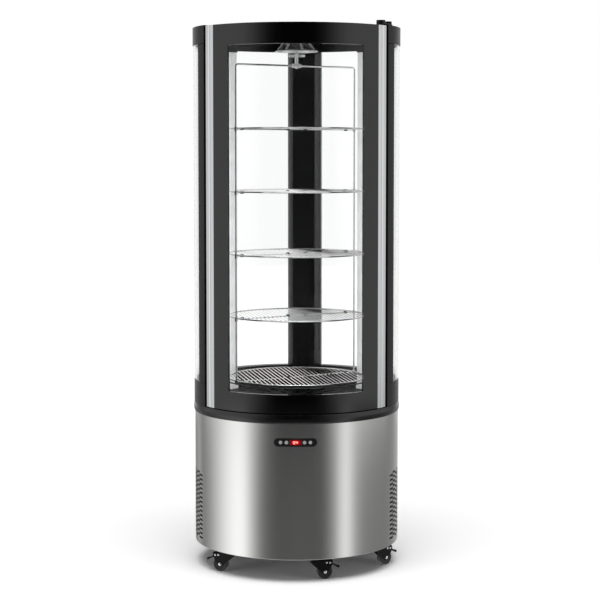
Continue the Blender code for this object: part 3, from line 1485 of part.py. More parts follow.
def build_casters():
    braked_fork = fork(braked=True)
    plain_fork = fork(braked=False)
    roller = wheel()
    lever = pedal()
    for index, (azimuth, heading) in enumerate(zip(CASTER_AZIMUTHS, CASTER_HEADINGS)):
        number = str(index + 1)
        axis = anchor("caster_axis_" + number, polar(CASTER_CIRCLE, azimuth), heading)
        braked = index < BRAKED_CASTERS
        piece("fork_" + number, braked_fork if braked else plain_fork, "zinc_steel", axis)
        piece("wheel_" + number, roller, "tread_rubber", axis, (CASTER_TRAIL, 0, WHEEL_RADIUS))
        if braked:
            place = (PEDAL_PIVOT_REACH, 0, PEDAL_PIVOT_HEIGHT)
            piece("pedal_" + number, lever, "zinc_steel", axis, place)


def main():
    for leftover in list(bpy.data.objects):
        bpy.data.objects.remove(leftover)
    build_base()
    build_unit()
    build_cabinet()
    build_door()
    build_rack()
    build_casters()


main()
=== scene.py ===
"""Looks of the round refrigerated display case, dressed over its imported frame.

Metres, +Z up. The origin is on the floor, on the axis of the case, and the door faces -Y.
Azimuths run round that axis from the front towards the right-hand side.
"""

from math import asin, atan2, cos, pi, radians, sin, sqrt

import bmesh
import bpy
from mathutils import Matrix, Vector


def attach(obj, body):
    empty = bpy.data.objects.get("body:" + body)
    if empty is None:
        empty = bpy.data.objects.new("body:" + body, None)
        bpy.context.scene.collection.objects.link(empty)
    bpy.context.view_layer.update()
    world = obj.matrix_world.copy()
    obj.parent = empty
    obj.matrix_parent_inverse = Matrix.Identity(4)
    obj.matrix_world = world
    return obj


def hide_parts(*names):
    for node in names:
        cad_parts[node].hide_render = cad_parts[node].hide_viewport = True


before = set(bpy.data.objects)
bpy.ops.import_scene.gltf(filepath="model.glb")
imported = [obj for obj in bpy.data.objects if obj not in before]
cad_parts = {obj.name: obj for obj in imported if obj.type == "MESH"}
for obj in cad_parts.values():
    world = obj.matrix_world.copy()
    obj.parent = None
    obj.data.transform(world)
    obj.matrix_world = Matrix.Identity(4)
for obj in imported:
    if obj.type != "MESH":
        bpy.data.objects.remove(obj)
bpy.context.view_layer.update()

# Case: heights from the floor and radii from the axis
SHELL_BOTTOM = 0.075
SHELL_TOP = 0.5077
RING_BOTTOM = 0.508
RING_TOP = 0.537
SILL_BOTTOM = 0.5373
SILL_TOP = 0.590
WINDOW_BOTTOM = 0.6133
WINDOW_TOP = 1.7077
CAP_BOTTOM = 1.708
ROOF_BOTTOM = 1.750
CAP_TOP = 1.766
DECK_TOP = 0.545
CASE_RADIUS = 0.342
BODY_RADIUS = 0.340
SHELL_RADIUS = 0.338
SHELL_WALL = 0.003
BORE_RADIUS = 0.297
LINER_RADIUS = 0.3075
GLASS_RADIUS = 0.3395
GLASS_WALL = 0.005
STEP = radians(1.5)
SEAT_GAP = 0.0003  # between a piece and its seat
OVERRUN = 0.01  # how far a cutter reaches past what it cuts

# Rounding of the edges, and the angle above which an edge is sharp
EDGE = 0.0012
FINE_EDGE = 0.0006
SMOOTH = radians(38.0)

# Turns of a shape built up +Z, so that it points to the front, to +X or down
OUTWARD = Matrix.Rotation(pi / 2, 4, "X")
SIDEWAYS = Matrix.Rotation(pi / 2, 4, "Y")
DOWN = Matrix.Rotation(pi, 4, "X")


# Shapes

def shares(steps):
    """Even steps from 0 to 1."""
    return [index / steps for index in range(steps + 1)]


def spokes(count):
    """Even steps round a full turn."""
    return [index * 2 * pi / count for index in range(count)]


def polar(radius, azimuth, height=0.0):
    return Vector((radius * sin(azimuth), -radius * cos(azimuth), height))


def facing(azimuth):
    """Turns a shape built at the front of the case to an azimuth."""
    return Matrix.Rotation(azimuth, 4, "Z")


def shift(x, y, z):
    return Matrix.Translation((x, y, z))


def mesh_from(bm):
    bmesh.ops.recalc_face_normals(bm, faces=bm.faces)
    mesh = bpy.data.meshes.new("shape")
    bm.to_mesh(mesh)
    bm.free()
    return mesh


def bridged(rings, whole):
    """Rings of corners joined side to side, into a ring or, with end faces, into a bar."""
    bm = bmesh.new()
    rows = [[bm.verts.new(point) for point in ring] for ring in rings]
    following = rows[1:] + rows[:1] if whole else rows[1:]
    for near, far in zip(rows, following):
        for index in range(len(near)):
            after = (index + 1) % len(near)
            bm.faces.new((near[index], far[index], far[after], near[after]))
    if not whole:
        bm.faces.new(rows[0])
        bm.faces.new(rows[-1])
    bmesh.ops.remove_doubles(bm, verts=bm.verts, dist=1e-6)
    return mesh_from(bm)


def turned(profile, sides=240):
    """A closed profile of (radius, height) points turned round the Z axis."""
    return bridged([[polar(r, azimuth, z) for r, z in profile] for azimuth in spokes(sides)], True)


def swept(profile, start, end):
    """A closed profile of (radius, height) points carried along an arc."""
    count = max(1, round((end - start) / STEP))
    azimuths = [start + (end - start) * share for share in shares(count)]
    return bridged([[polar(r, azimuth, z) for r, z in profile] for azimuth in azimuths], False)


def block(low, high):
    return [(low[0], low[1]), (high[0], low[1]), (high[0], high[1]), (low[0], high[1])]


def arc(centre, radius, start, end, steps):
    angles = [start + (end - start) * share for share in shares(steps)]
    return [(centre[0] + radius * cos(a), centre[1] + radius * sin(a)) for a in angles]


def plate(outline, bottom, top):
    """An outline of (x, y) points extruded upwards."""
    bm = bmesh.new()
    face = bm.faces.new([bm.verts.new((x, y, bottom)) for x, y in outline])
    grown = bmesh.ops.extrude_face_region(bm, geom=[face])["geom"]
    raised = [item for item in grown if isinstance(item, bmesh.types.BMVert)]
    bmesh.ops.translate(bm, verts=raised, vec=(0, 0, top - bottom))
    return mesh_from(bm)


def box(low, high):
    return plate(block(low[:2], high[:2]), low[2], high[2])


def rod(sides, *lengths):
    """A round bar along the Z axis, from its (radius, from, to) lengths."""
    profile = [(0, lengths[0][1])]
    for radius, start, end in lengths:
        profile += [(radius, start), (radius, end)]
    return turned(profile + [(0, lengths[-1][2])], sides)


def dome(radius, height, sides, steps=5):
    """A low dome round the Z axis, its flat face at the origin."""
    angles = [share * pi / 2 for share in shares(steps)]
    return turned([(0, 0)] + [(radius * cos(a), height * sin(a)) for a in angles], sides)


def tube(points, radius, sides=10, closed=False):
    """A round wire along a path, its section carried without twist."""
    points = [Vector(point) for point in points]
    count = len(points)
    rings = []
    normal = None
    for index, point in enumerate(points):
        before = points[index - 1] if index or closed else point
        after = points[(index + 1) % count] if index < count - 1 or closed else point
        along = (after - before).normalized()
        if normal is None:
            normal = along.orthogonal().normalized()
        normal = (normal - along * normal.dot(along)).normalized()
        other = along.cross(normal)
        rings.append([point + (normal * cos(t) + other * sin(t)) * radius for t in spokes(sides)])
    return bridged(rings, closed)


def circle(radius, height, steps):
    return [(radius * cos(turn), radius * sin(turn), height) for turn in spokes(steps)]


def moved(mesh, *steps):
    """A copy of the mesh after the given transforms, the last of them applied first."""
    whole = Matrix.Identity(4)
    for step in steps:
        whole = whole @ step
    copy = mesh.copy()
    copy.transform(whole)
    return copy


def grouped(meshes):
    bm = bmesh.new()
    for mesh in meshes:
        bm.from_mesh(mesh)
    return mesh_from(bm)


def mirrored(mesh):
    """The same shape on the other side of the case."""
    return grouped([moved(mesh, Matrix.Scale(-1, 4, (1, 0, 0)))])


def placed(name, data):
    """A new object in the scene."""
    obj = bpy.data.objects.new(name, data)
    bpy.context.scene.collection.objects.link(obj)
    return obj


def cut(base, tool):
    """The base without the tool, by an exact Boolean."""
    carrier = placed("carrier", base)
    cutter = placed("cutter", tool)
    step = carrier.modifiers.new("cut", "BOOLEAN")
    step.operation = "DIFFERENCE"
    step.solver = "EXACT"
    step.object = cutter
    graph = bpy.context.evaluated_depsgraph_get()
    result = bpy.data.meshes.new_from_object(carrier.evaluated_get(graph))
    bpy.data.objects.remove(carrier)
    bpy.data.objects.remove(cutter)
    return result


def wrapped(outline, inner, outer):
    """A plate drawn with (sideways, height) lengths and wrapped round the case's front."""
    bm = bmesh.new()
    bm.faces.new([bm.verts.new((s, 0.0, z)) for s, z in outline])
    pitch = STEP * outer
    reach = max(abs(s) for s, z in outline)
    for index in range(-int(reach / pitch), int(reach / pitch) + 1):
        everything = bm.verts[:] + bm.edges[:] + bm.faces[:]
        bmesh.ops.bisect_plane(
            bm, geom=everything, dist=1e-6, plane_co=(index * pitch, 0, 0), plane_no=(1, 0, 0)
        )
    grown = bmesh.ops.extrude_face_region(bm, geom=bm.faces[:])["geom"]
    raised = {item for item in grown if isinstance(item, bmesh.types.BMVert)}
    for vert in bm.verts:
        radius = outer if vert in raised else inner
        vert.co = polar(radius, vert.co.x / outer, vert.co.z)
    return mesh_from(bm)


# Materials
NOISE_LOW = 0.3  # nearly all of a noise lies between these two
NOISE_HIGH = 0.7
GRIND_DEPTH = 0.0002
SKIN_DEPTH = 0.0003


def scaled(colour, share):
    return tuple(min(1.0, channel * share) for channel in colour)


def plug(tree, socket, value):
    """Feeds a socket from another one or with a constant."""
    if isinstance(value, bpy.types.NodeSocket):
        tree.links.new(value, socket)
    else:
        socket.default_value = value


def added(tree, kind, **inputs):
    """A new node, its inputs of these names fed."""
    node = tree.nodes.new("ShaderNode" + kind)
    for name, value in inputs.items():
        plug(tree, node.inputs[name.replace("_", " ")], value)
    return node


def ramp(tree, source, stops):
    """The colour that (place, colour) stops give."""
    node = added(tree, "ValToRGB", Fac=source)
    elements = node.color_ramp.elements
    while len(elements) < len(stops):
        elements.new(1.0)
    for element, (place, colour) in zip(elements, stops):
        element.position = place
        element.color = (*colour, 1)
    return node.outputs["Color"]


class Shader:
    """A Principled material whose colour, roughness and surface come from noise."""

    def __init__(self, name, colour, roughness, metallic=0.0, **sockets):
        self.material = bpy.data.materials.new(name)
        self.material.use_nodes = True
        self.tree = self.material.node_tree
        self.shader = self.tree.nodes["Principled BSDF"]
        self.colour = colour
        self.set("Base Color", (*colour, 1))
        self.set("Roughness", roughness)
        self.set("Metallic", metallic)
        for socket, value in sockets.items():
            self.set(socket.replace("_", " "), value)
        self.place = added(self.tree, "TexCoord").outputs["Object"]

    def set(self, socket, value):
        plug(self.tree, self.shader.inputs[socket], value)

    def noise(self, scale, stretch=(1, 1, 1), detail=3.0, rough=0.55):
        vector = added(self.tree, "Mapping", Vector=self.place, Scale=stretch).outputs["Vector"]
        texture = added(self.tree, "TexNoise", Vector=vector, Scale=scale, Detail=detail, Roughness=rough)
        return texture.outputs["Fac"]

    def tint(self, source, spread):
        """Colour that wanders a little round the material's own."""
        low = scaled(self.colour, 1 - spread)
        high = scaled(self.colour, 1 + spread)
        self.set("Base Color", ramp(self.tree, source, [(NOISE_LOW, low), (NOISE_HIGH, high)]))

    def roughen(self, source, low, high):
        """Roughness that wanders between two values."""
        node = added(self.tree, "MapRange", Value=source, From_Min=NOISE_LOW, From_Max=NOISE_HIGH)
        node.inputs["To Min"].default_value = low
        node.inputs["To Max"].default_value = high
        self.set("Roughness", node.outputs["Result"])

    def bump(self, source, strength, distance):
        node = added(self.tree, "Bump", Height=source, Strength=strength, Distance=distance)
        self.set("Normal", node.outputs["Normal"])


def brushed(name, colour, low, high, stretch, depth, spread=0.05):
    """Metal with fine grinding lines across the shape's stretched direction."""
    steel = Shader(name, colour, low, 1.0)
    lines = steel.noise(1.0, stretch, 4.0, 0.7)
    steel.tint(lines, spread)
    steel.roughen(lines, low, high)
    steel.bump(lines, depth, GRIND_DEPTH)
    return steel.material


def mottled(name, colour, low, high, scale, spread, depth, metallic=0.0, **sockets):
    """A moulded, painted or cast surface with a fine skin over broader clouds."""
    skin = Shader(name, colour, low, metallic, **sockets)
    broad = skin.noise(scale / 12)
    fine = skin.noise(scale)
    skin.tint(broad, spread)
    skin.roughen(broad, low, high)
    skin.bump(fine, depth, SKIN_DEPTH)
    return skin.material


def clear(name, colour, ior):
    """Glass, with the faint smears that cleaning leaves."""
    pane = Shader(name, colour, 0.02, Transmission_Weight=1.0, IOR=ior)
    haze = pane.noise(5.0, (1, 1, 0.6), 2.0)
    pane.tint(haze, 0.004)
    pane.roughen(haze, 0.024, 0.034)
    return pane.material


def glowing(name, colour, strength, scale):
    """A lit face whose light varies a little over it."""
    face = Shader(name, colour, 0.3, Emission_Strength=strength)
    wave = face.noise(scale)
    stops = [(NOISE_LOW, scaled(colour, 0.75)), (NOISE_HIGH, colour)]
    face.set("Emission Color", ramp(face.tree, wave, stops))
    face.tint(wave, 0.1)
    return face.material


def backlit(name, colour, strength, middle, reach):
    """A dark lens, lit from behind round its middle, where the light is palest."""
    lens = Shader(name, scaled(colour, 0.1), 0.14, Emission_Strength=strength)
    near = added(lens.tree, "Mapping", Vector=lens.place, Location=middle, Scale=reach)
    near.vector_type = "TEXTURE"
    ball = added(lens.tree, "TexGradient", Vector=near.outputs["Vector"])
    ball.gradient_type = "SPHERICAL"
    faint = scaled(colour, 0.08)
    stops = [(0.0, faint), (0.30, faint), (0.65, colour), (1.0, (1.0, 0.12, 0.10))]
    lens.set("Emission Color", ramp(lens.tree, ball.outputs["Fac"], stops))
    lens.tint(lens.noise(60.0), 0.1)
    return lens.material


# Brushed: name, colour, least and most roughness, lines per metre, depth, spread of the colour
STEEL = brushed("brushed_steel", (0.62, 0.62, 0.61), 0.20, 0.23, (2.0, 2.0, 900.0), 0.02, 0.02)
STRIP = brushed("bright_strip", (0.72, 0.73, 0.74), 0.26, 0.32, (900.0, 900.0, 3.0), 0.04)
COIL = brushed("coil_metal", (0.66, 0.66, 0.65), 0.34, 0.48, (6.0, 800.0, 6.0), 0.10)

# Mottled: name, colour, least and most roughness, grain, spread of the colour, depth, metallic
DECK = mottled(
    "deck_enamel", (0.0035, 0.0035, 0.0038), 0.40, 0.55, 700.0, 0.20, 0.04, Specular_IOR_Level=0.10
)
# Base plate in near black and without metal: painted shade under the case, so little light bounces from it
# onto the floor in its shadow.
SHADE_PLATE = mottled("plate_painted_shade", (0.05, 0.05, 0.052), 0.50, 0.62, 150.0, 0.12, 0.10)
CHROME = mottled("chrome", (0.88, 0.88, 0.88), 0.14, 0.24, 60.0, 0.03, 0.02, 1.0)
# Canopy bell: partly real chrome reflection, partly a pale grey diffuse share that is painted sheen.
SPUN_AND_SHEEN = mottled("spun_chrome_and_painted_sheen", (0.80, 0.80, 0.80), 0.18, 0.26, 60.0, 0.03, 0.02, 0.80)
POLISHED = mottled("polished_chrome", (0.92, 0.92, 0.92), 0.12, 0.20, 60.0, 0.03, 0.02, 0.5)
# Ribs and rim of the canopy: near white and barely metallic, a painted highlight standing in for the bright
# reflections on chrome.
PALE_HIGHLIGHT = mottled("chrome_painted_highlight", (0.92, 0.92, 0.92), 0.18, 0.26, 60.0, 0.03, 0.02, 0.10)
ZINC = mottled("zinc_steel", (0.55, 0.56, 0.57), 0.30, 0.46, 150.0, 0.10, 0.10, 1.0)
ENAMEL = mottled("black_enamel", (0.0075, 0.0075, 0.0080), 0.16, 0.24, 900.0, 0.20, 0.03)
SATIN = mottled(
    "satin_black", (0.0028, 0.0028, 0.0030), 0.30, 0.42, 1400.0, 0.20, 0.08, Specular_IOR_Level=0.25
)
PLASTIC = mottled("black_plastic", (0.017, 0.017, 0.018), 0.38, 0.50, 1600.0, 0.18, 0.14)
RING = mottled("ring_black", (0.0012, 0.0012, 0.0013), 0.20, 0.28, 1400.0, 0.20, 0.05)
PANEL = mottled("panel_black", (0.008, 0.008, 0.009), 0.10, 0.18, 500.0, 0.10, 0.02)
RUBBER = mottled("gasket_rubber", (0.022, 0.022, 0.023), 0.60, 0.78, 900.0, 0.15, 0.20)
TREAD = mottled("tread_rubber", (0.020, 0.020, 0.021), 0.34, 0.46, 700.0, 0.20, 0.20)
CAP_GREY = mottled("button_grey", (0.34, 0.35, 0.36), 0.30, 0.42, 900.0, 0.06, 0.04)
PRINT = mottled(
    "black_print", (0.0010, 0.0010, 0.0011), 0.40, 0.50, 900.0, 0.20, 0.03, Specular_IOR_Level=0.0
)
PRINTED = mottled("printed_glass", (0.0010, 0.0010, 0.0011), 0.03, 0.05, 3.0, 0.20, 0.0)

# Glass, and what is lit: name, colour, strength, then its grain or its middle and reach
GLASS = clear("clear_glass", (0.992, 0.996, 0.994), 1.22)
LAMP = glowing("lamp_cover", (0.80, 0.81, 0.82), 0.34, 30.0)
LENS = backlit("display_lens", (0.85, 0.015, 0.018), 1.0, (0.0, -0.3384, 0.450), (0.021, 0.021, 0.011))
DIGITS = glowing("display_digits", (1.0, 0.30, 0.26), 3.0, 200.0)


# Pieces

def piece(name, mesh, material, body, replaced=(), edge=0.0):
    """A named piece on its body, in place of the solids that it stands for."""
    mesh.name = name
    mesh.materials.clear()
    mesh.materials.append(material)
    mesh.shade_smooth()
    obj = placed(name, mesh)
    if edge:
        bevel = obj.modifiers.new("edges", "BEVEL")
        bevel.width = edge
        bevel.segments = 2
        bevel.limit_method = "ANGLE"
        bevel.angle_limit = SMOOTH
        bevel.harden_normals = True
    else:
        mesh.set_sharp_from_angle(angle=SMOOTH)
    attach(obj, body)
    if replaced:
        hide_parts(*replaced)
    return obj


# Base shell, with its vents, its hem and the seam at the back
SHELL_SIDES = 288
VENT_ROWS = 30
VENT_WIDE_ROW = 4
VENT_PITCH = radians(9.0)
VENT_ROW_PITCH = 0.0074
VENT_LOWEST = 0.024
VENT_LENGTH = 0.032
VENT_HEIGHT = 0.0060
VENT_AZIMUTH = radians(81.0)
HEM = 0.0013
SEAM_WIDTH = 0.0012
SEAM_DEPTH = 0.0009
PANEL_MIDDLE = 0.450
PANEL_RADIUS = 0.339
PANEL_WIDTH = 0.137
PANEL_HEIGHT = 0.027
GLAND_AZIMUTH = radians(184.5)
GLAND_HEIGHT = 0.120
GLAND_RADIUS = 0.0083
GLAND_STRETCH = 1e-5  # keeps the two ends of the round outline apart
BACK_SCREW_HEIGHTS = (0.10, 0.20, 0.30, 0.40, 0.485)
BACK_SCREW_SPREAD = radians(2.2)
BACK_SCREW = (0.0042, 0.0016, 20)  # radius, height and sides of its head


def stadium(width, height, steps=8):
    """A long outline with round ends."""
    radius = height / 2
    reach = width / 2 - radius
    right = arc((reach, 0), radius, -pi / 2, pi / 2, steps)
    left = arc((-reach, 0), radius, pi / 2, 3 * pi / 2, steps)
    return right + left


def through_shell(outline):
    """A cutter through the shell's front, from an outline round the origin."""
    return moved(plate(outline, SHELL_RADIUS - 4 * SHELL_WALL, SHELL_RADIUS + SHELL_WALL), OUTWARD)


def vent_cutters():
    """The slots of both vent fields, every second row one slot shorter."""
    slot = through_shell(stadium(VENT_LENGTH, VENT_HEIGHT, 4))
    cutters = []
    for row in range(VENT_ROWS):
        count = VENT_WIDE_ROW - row % 2
        height = SHELL_BOTTOM + VENT_LOWEST + row * VENT_ROW_PITCH
        for column in range(count):
            azimuth = VENT_AZIMUTH + (column - (count - 1) / 2) * VENT_PITCH
            for side in (-1, 1):
                cutters.append(moved(slot, facing(side * azimuth), shift(0, 0, height)))
    return cutters


def build_shell():
    inner = SHELL_RADIUS - SHELL_WALL
    low = arc((SHELL_RADIUS - HEM, SHELL_BOTTOM + HEM), HEM, -pi / 2, 0, 4)
    profile = [(inner, SHELL_BOTTOM)] + low + [
        (SHELL_RADIUS, SHELL_BOTTOM + 2 * HEM),
        (SHELL_RADIUS, SHELL_TOP),
        (inner, SHELL_TOP),
    ]
    panel_hole = moved(through_shell(stadium(PANEL_WIDTH, PANEL_HEIGHT)), shift(0, 0, PANEL_MIDDLE))
    gland = stadium(2 * GLAND_RADIUS + GLAND_STRETCH, 2 * GLAND_RADIUS)
    gland_hole = moved(through_shell(gland), facing(GLAND_AZIMUTH), shift(0, 0, GLAND_HEIGHT))
    seam = box(
        (-SEAM_WIDTH / 2, SHELL_RADIUS - SEAM_DEPTH, SHELL_BOTTOM - HEM),
        (SEAM_WIDTH / 2, CASE_RADIUS, SHELL_TOP + HEM),
    )
    cutters = grouped(vent_cutters() + [panel_hole, gland_hole, seam])
    shell = cut(turned(profile, SHELL_SIDES), cutters)
    piece("shell_skin", shell, STEEL, "case", ["base_shell"])
    screws = []
    head = dome(*BACK_SCREW)
    for height in BACK_SCREW_HEIGHTS:
        for side in (-1, 1):
            turn = facing(pi + side * BACK_SCREW_SPREAD)
            screws.append(moved(head, turn, shift(0, -SHELL_RADIUS, height), OUTWARD))
    piece("shell_screws", grouped(screws), ZINC, "case")


# Trim ring, lower band and posts
RING_LEDGE_RADIUS = 0.270
RING_LEDGE_HEIGHTS = (0.490, 0.4997)
RING_SPIGOT = 0.3347
RING_BULGE = 0.003
RING_ROUNDING = 0.7
RING_STEPS = 10
POST_START = radians(60.35)
POST_END = radians(68.8)
POST_INNER = 0.296
FLANGE_START = radians(45.0)
FLANGE_END = radians(60.05)
FLANGE_INNER = 0.298
FLANGE_BOTTOM = 0.5903
FLANGE_TOP = 1.7057
BAND_INNER = 0.305
BAND_TOP = 0.613


def build_ring():
    outside = []
    for share in shares(RING_STEPS):
        bulge = RING_BULGE * sin(pi * share) ** RING_ROUNDING
        outside.append((CASE_RADIUS - RING_BULGE + bulge, RING_BOTTOM + (RING_TOP - RING_BOTTOM) * share))
    low, high = RING_LEDGE_HEIGHTS
    inside = [
        (BORE_RADIUS, RING_TOP),
        (BORE_RADIUS, high),
        (RING_LEDGE_RADIUS, high),
        (RING_LEDGE_RADIUS, low),
        (RING_SPIGOT, low),
        (RING_SPIGOT, RING_BOTTOM),
    ]
    piece("ring_skin", turned(outside + inside), RING, "case", ["base_ring"], FINE_EDGE)


def build_band():
    sill = turned(block((BORE_RADIUS, SILL_BOTTOM), (LINER_RADIUS, SILL_TOP)))
    back = swept(block((BAND_INNER, SILL_BOTTOM), (BODY_RADIUS, BAND_TOP)), POST_START, 2 * pi - POST_START)
    piece("band_skin", grouped([sill, back]), SATIN, "case", ["lower_band"], EDGE)


def build_posts():
    """Each post with the flange that the gasket closes against."""
    post = swept(block((POST_INNER, WINDOW_BOTTOM), (BODY_RADIUS, WINDOW_TOP)), POST_START, POST_END)
    lip = block((FLANGE_INNER, FLANGE_BOTTOM), (LINER_RADIUS, FLANGE_TOP))
    right = grouped([post, swept(lip, FLANGE_START, FLANGE_END)])
    left = mirrored(right)
    for name, mesh in (("right_post", right), ("left_post", left)):
        piece(name + "_skin", mesh, SATIN, "case", [name], EDGE)


# Side glass and rear column
COLUMN_AZIMUTH = radians(175.1)
COLUMN_FACE_HALF = 0.038
COLUMN_HALF = 0.057
COLUMN_FACE = 0.256
COLUMN_SHOULDER = 0.282
COLUMN_SEAM = 0.0006
COLUMN_OUTER = 0.3393
COLUMN_HEAD_OUTER = 0.334
COLUMN_BACK_STEPS = 16
COLUMN_SLOTS = 4
COLUMN_SLOT_WIDTH = 0.050
COLUMN_SLOT_HEIGHT = 0.005
COLUMN_SLOT_PITCH = 0.0125
COLUMN_SLOT_DEPTH = 0.012
COLUMN_SLOT_LOWEST = 0.6353


def build_glass():
    side = asin((COLUMN_HALF + COLUMN_SEAM) / (GLASS_RADIUS - GLASS_WALL))
    gap = SEAT_GAP / GLASS_RADIUS
    profile = block((GLASS_RADIUS - GLASS_WALL, WINDOW_BOTTOM), (GLASS_RADIUS, WINDOW_TOP))
    right = swept(profile, POST_END + gap, COLUMN_AZIMUTH - side)
    left = swept(profile, COLUMN_AZIMUTH + side, 2 * pi - POST_END - gap)
    for name, mesh in (("right_glass", right), ("left_glass", left)):
        pane = piece(name + "_skin", mesh, GLASS, "case", [name], FINE_EDGE)
        pane.visible_shadow = False


def column_part(outer, bottom, top):
    """A length of the column, rounded behind to an outer radius."""
    spread = atan2(COLUMN_HALF, sqrt(outer**2 - COLUMN_HALF**2))
    outline = [
        (-COLUMN_HALF, -COLUMN_SHOULDER),
        (-COLUMN_FACE_HALF, -COLUMN_FACE),
        (COLUMN_FACE_HALF, -COLUMN_FACE),
        (COLUMN_HALF, -COLUMN_SHOULDER),
    ]
    for share in shares(COLUMN_BACK_STEPS):
        outline.append(tuple(polar(outer, spread * (1 - 2 * share)).xy))
    return moved(plate(outline, bottom, top), facing(COLUMN_AZIMUTH))


def build_column():
    outline = stadium(COLUMN_SLOT_WIDTH, COLUMN_SLOT_HEIGHT, 4)
    slot = plate(outline, COLUMN_FACE - COLUMN_SLOT_DEPTH, COLUMN_FACE + COLUMN_SLOT_DEPTH)
    slots = []
    for index in range(COLUMN_SLOTS):
        height = COLUMN_SLOT_LOWEST + index * COLUMN_SLOT_PITCH + COLUMN_SLOT_HEIGHT / 2
        slots.append(moved(slot, facing(COLUMN_AZIMUTH), shift(0, 0, height), OUTWARD))
    main = cut(column_part(COLUMN_OUTER, WINDOW_BOTTOM, WINDOW_TOP), grouped(slots))
    foot = column_part(BORE_RADIUS - COLUMN_SEAM, DECK_TOP + SEAT_GAP, WINDOW_BOTTOM)
    head = column_part(COLUMN_HEAD_OUTER, WINDOW_TOP, ROOF_BOTTOM - SEAT_GAP)
    column = grouped([main, foot, head])
    piece("column_skin", column, ENAMEL, "case", ["rear_column"], FINE_EDGE)


# Cap: cut back over the door, with a fascia behind the door and a cheek at each end
CAP_WALL = 0.007
LINING_TOP = 1.763
FASCIA_INNER = 0.299
FASCIA_OUTER = 0.3074
FASCIA_BOTTOM = 1.706
FASCIA_END = radians(59.95)
NOTCH = radians(59.55)
CHEEK_START = NOTCH + 0.001
CHEEK_END = radians(62.05)
CHEEK_INNER = 0.303
CHEEK_BOTTOM = 1.7085


def build_cap():
    inside = CASE_RADIUS - CAP_WALL
    profile = [
        (0, ROOF_BOTTOM),
        (inside, ROOF_BOTTOM),
        (inside, CAP_BOTTOM),
        (CASE_RADIUS, CAP_BOTTOM),
        (CASE_RADIUS, CAP_TOP),
        (0, CAP_TOP),
    ]
    gap = block((LINER_RADIUS, CAP_BOTTOM - OVERRUN), (CASE_RADIUS + OVERRUN, CAP_TOP + OVERRUN))
    shell = cut(turned(profile), swept(gap, -NOTCH, NOTCH))
    piece("cap_skin", shell, SATIN, "case", ["top_cap"], EDGE)
    front = block((FASCIA_INNER, FASCIA_BOTTOM), (FASCIA_OUTER, LINING_TOP))
    side = block((CHEEK_INNER, CHEEK_BOTTOM), (CASE_RADIUS - CAP_WALL / 2, LINING_TOP))
    cheek = swept(side, CHEEK_START, CHEEK_END)
    lining = grouped([swept(front, -FASCIA_END, FASCIA_END), cheek, mirrored(cheek)])
    piece("cap_fascia", lining, SATIN, "case", edge=FINE_EDGE)


# Light strips
LAMP_AZIMUTH = radians(49.3)
LAMP_RADIUS = 0.290
LAMP_WIDTH = 0.036
LAMP_DEPTH = 0.012
LAMP_CROWN = 0.0054
LAMP_STEPS = 10
LAMP_FOOT = 0.014
LAMP_HEAD = 0.050


def build_lamps():
    half = LAMP_WIDTH / 2
    inner = -LAMP_RADIUS + LAMP_DEPTH / 2
    outer = -LAMP_RADIUS - LAMP_DEPTH / 2
    turns = [share * pi for share in shares(LAMP_STEPS)]
    crown = [(half * cos(turn), inner + LAMP_CROWN * (sin(turn) - 1)) for turn in turns]
    bottom = DECK_TOP + SEAT_GAP
    top = ROOF_BOTTOM - SEAT_GAP
    cover = plate([(-half, outer), (half, outer)] + crown, bottom + LAMP_FOOT, top - LAMP_HEAD)
    foot = box((-half, outer, bottom), (half, inner, bottom + LAMP_FOOT))
    head = box((-half, outer, top - LAMP_HEAD), (half, inner, top))
    for name, azimuth in (("led_right", pi - LAMP_AZIMUTH), ("led_left", pi + LAMP_AZIMUTH)):
        turn = facing(azimuth)
        piece(name + "_cover", moved(cover, turn), LAMP, "case", [name], FINE_EDGE)
        piece(name + "_foot", moved(foot, turn), LAMP, "case", edge=EDGE)
        piece(name + "_head", moved(head, turn), SATIN, "case", edge=EDGE)


# Deck, and its grille with the motor and pin of the fan below it
WELL_RADIUS = 0.190
WELL_FLOOR = 0.420
DECK_WALL = 0.003
DECK_FOOT = 0.500
GRILLE_RADIUS = 0.212
GRILLE_BOTTOM = 0.5453
GRILLE_TOP = 0.549
GRILLE_SIDES = 128
GRILLE_OVERRUN = 0.002
GRILLE_RINGS = ((12, 0.060, 0.112, 0.012), (24, 0.124, 0.190, 0.014))  # slots, start, end, width
FAN_MOTOR = (0.022, 0.5293, GRILLE_BOTTOM)  # radius, bottom, top
FAN_PIN = (0.003, 0.5053, 0.5293)


def build_deck():
    edge = BORE_RADIUS - SEAT_GAP
    profile = [
        (0, WELL_FLOOR - DECK_WALL),
        (WELL_RADIUS + DECK_WALL, WELL_FLOOR - DECK_WALL),
        (WELL_RADIUS + DECK_WALL, DECK_TOP - DECK_WALL),
        (edge - DECK_WALL, DECK_TOP - DECK_WALL),
        (edge - DECK_WALL, DECK_FOOT),
        (edge, DECK_FOOT),
        (edge, DECK_TOP),
        (WELL_RADIUS, DECK_TOP),
        (WELL_RADIUS, WELL_FLOOR),
        (0, WELL_FLOOR),
    ]
    piece("deck_skin", turned(profile), DECK, "case", ["deck"], FINE_EDGE)
    slots = []
    for count, start, end, width in GRILLE_RINGS:
        outline = [(x, y - (start + end) / 2) for y, x in stadium(end - start, width, 5)]
        slot = plate(outline, GRILLE_BOTTOM - GRILLE_OVERRUN, GRILLE_TOP + GRILLE_OVERRUN)
        slots += [moved(slot, facing(azimuth)) for azimuth in spokes(count)]
    disc = rod(GRILLE_SIDES, (GRILLE_RADIUS, GRILLE_BOTTOM, GRILLE_TOP))
    grille = grouped([cut(disc, grouped(slots)), rod(40, FAN_MOTOR), rod(16, FAN_PIN)])
    piece("grille_skin", grille, DECK, "case", ["deck_grille"], FINE_EDGE)


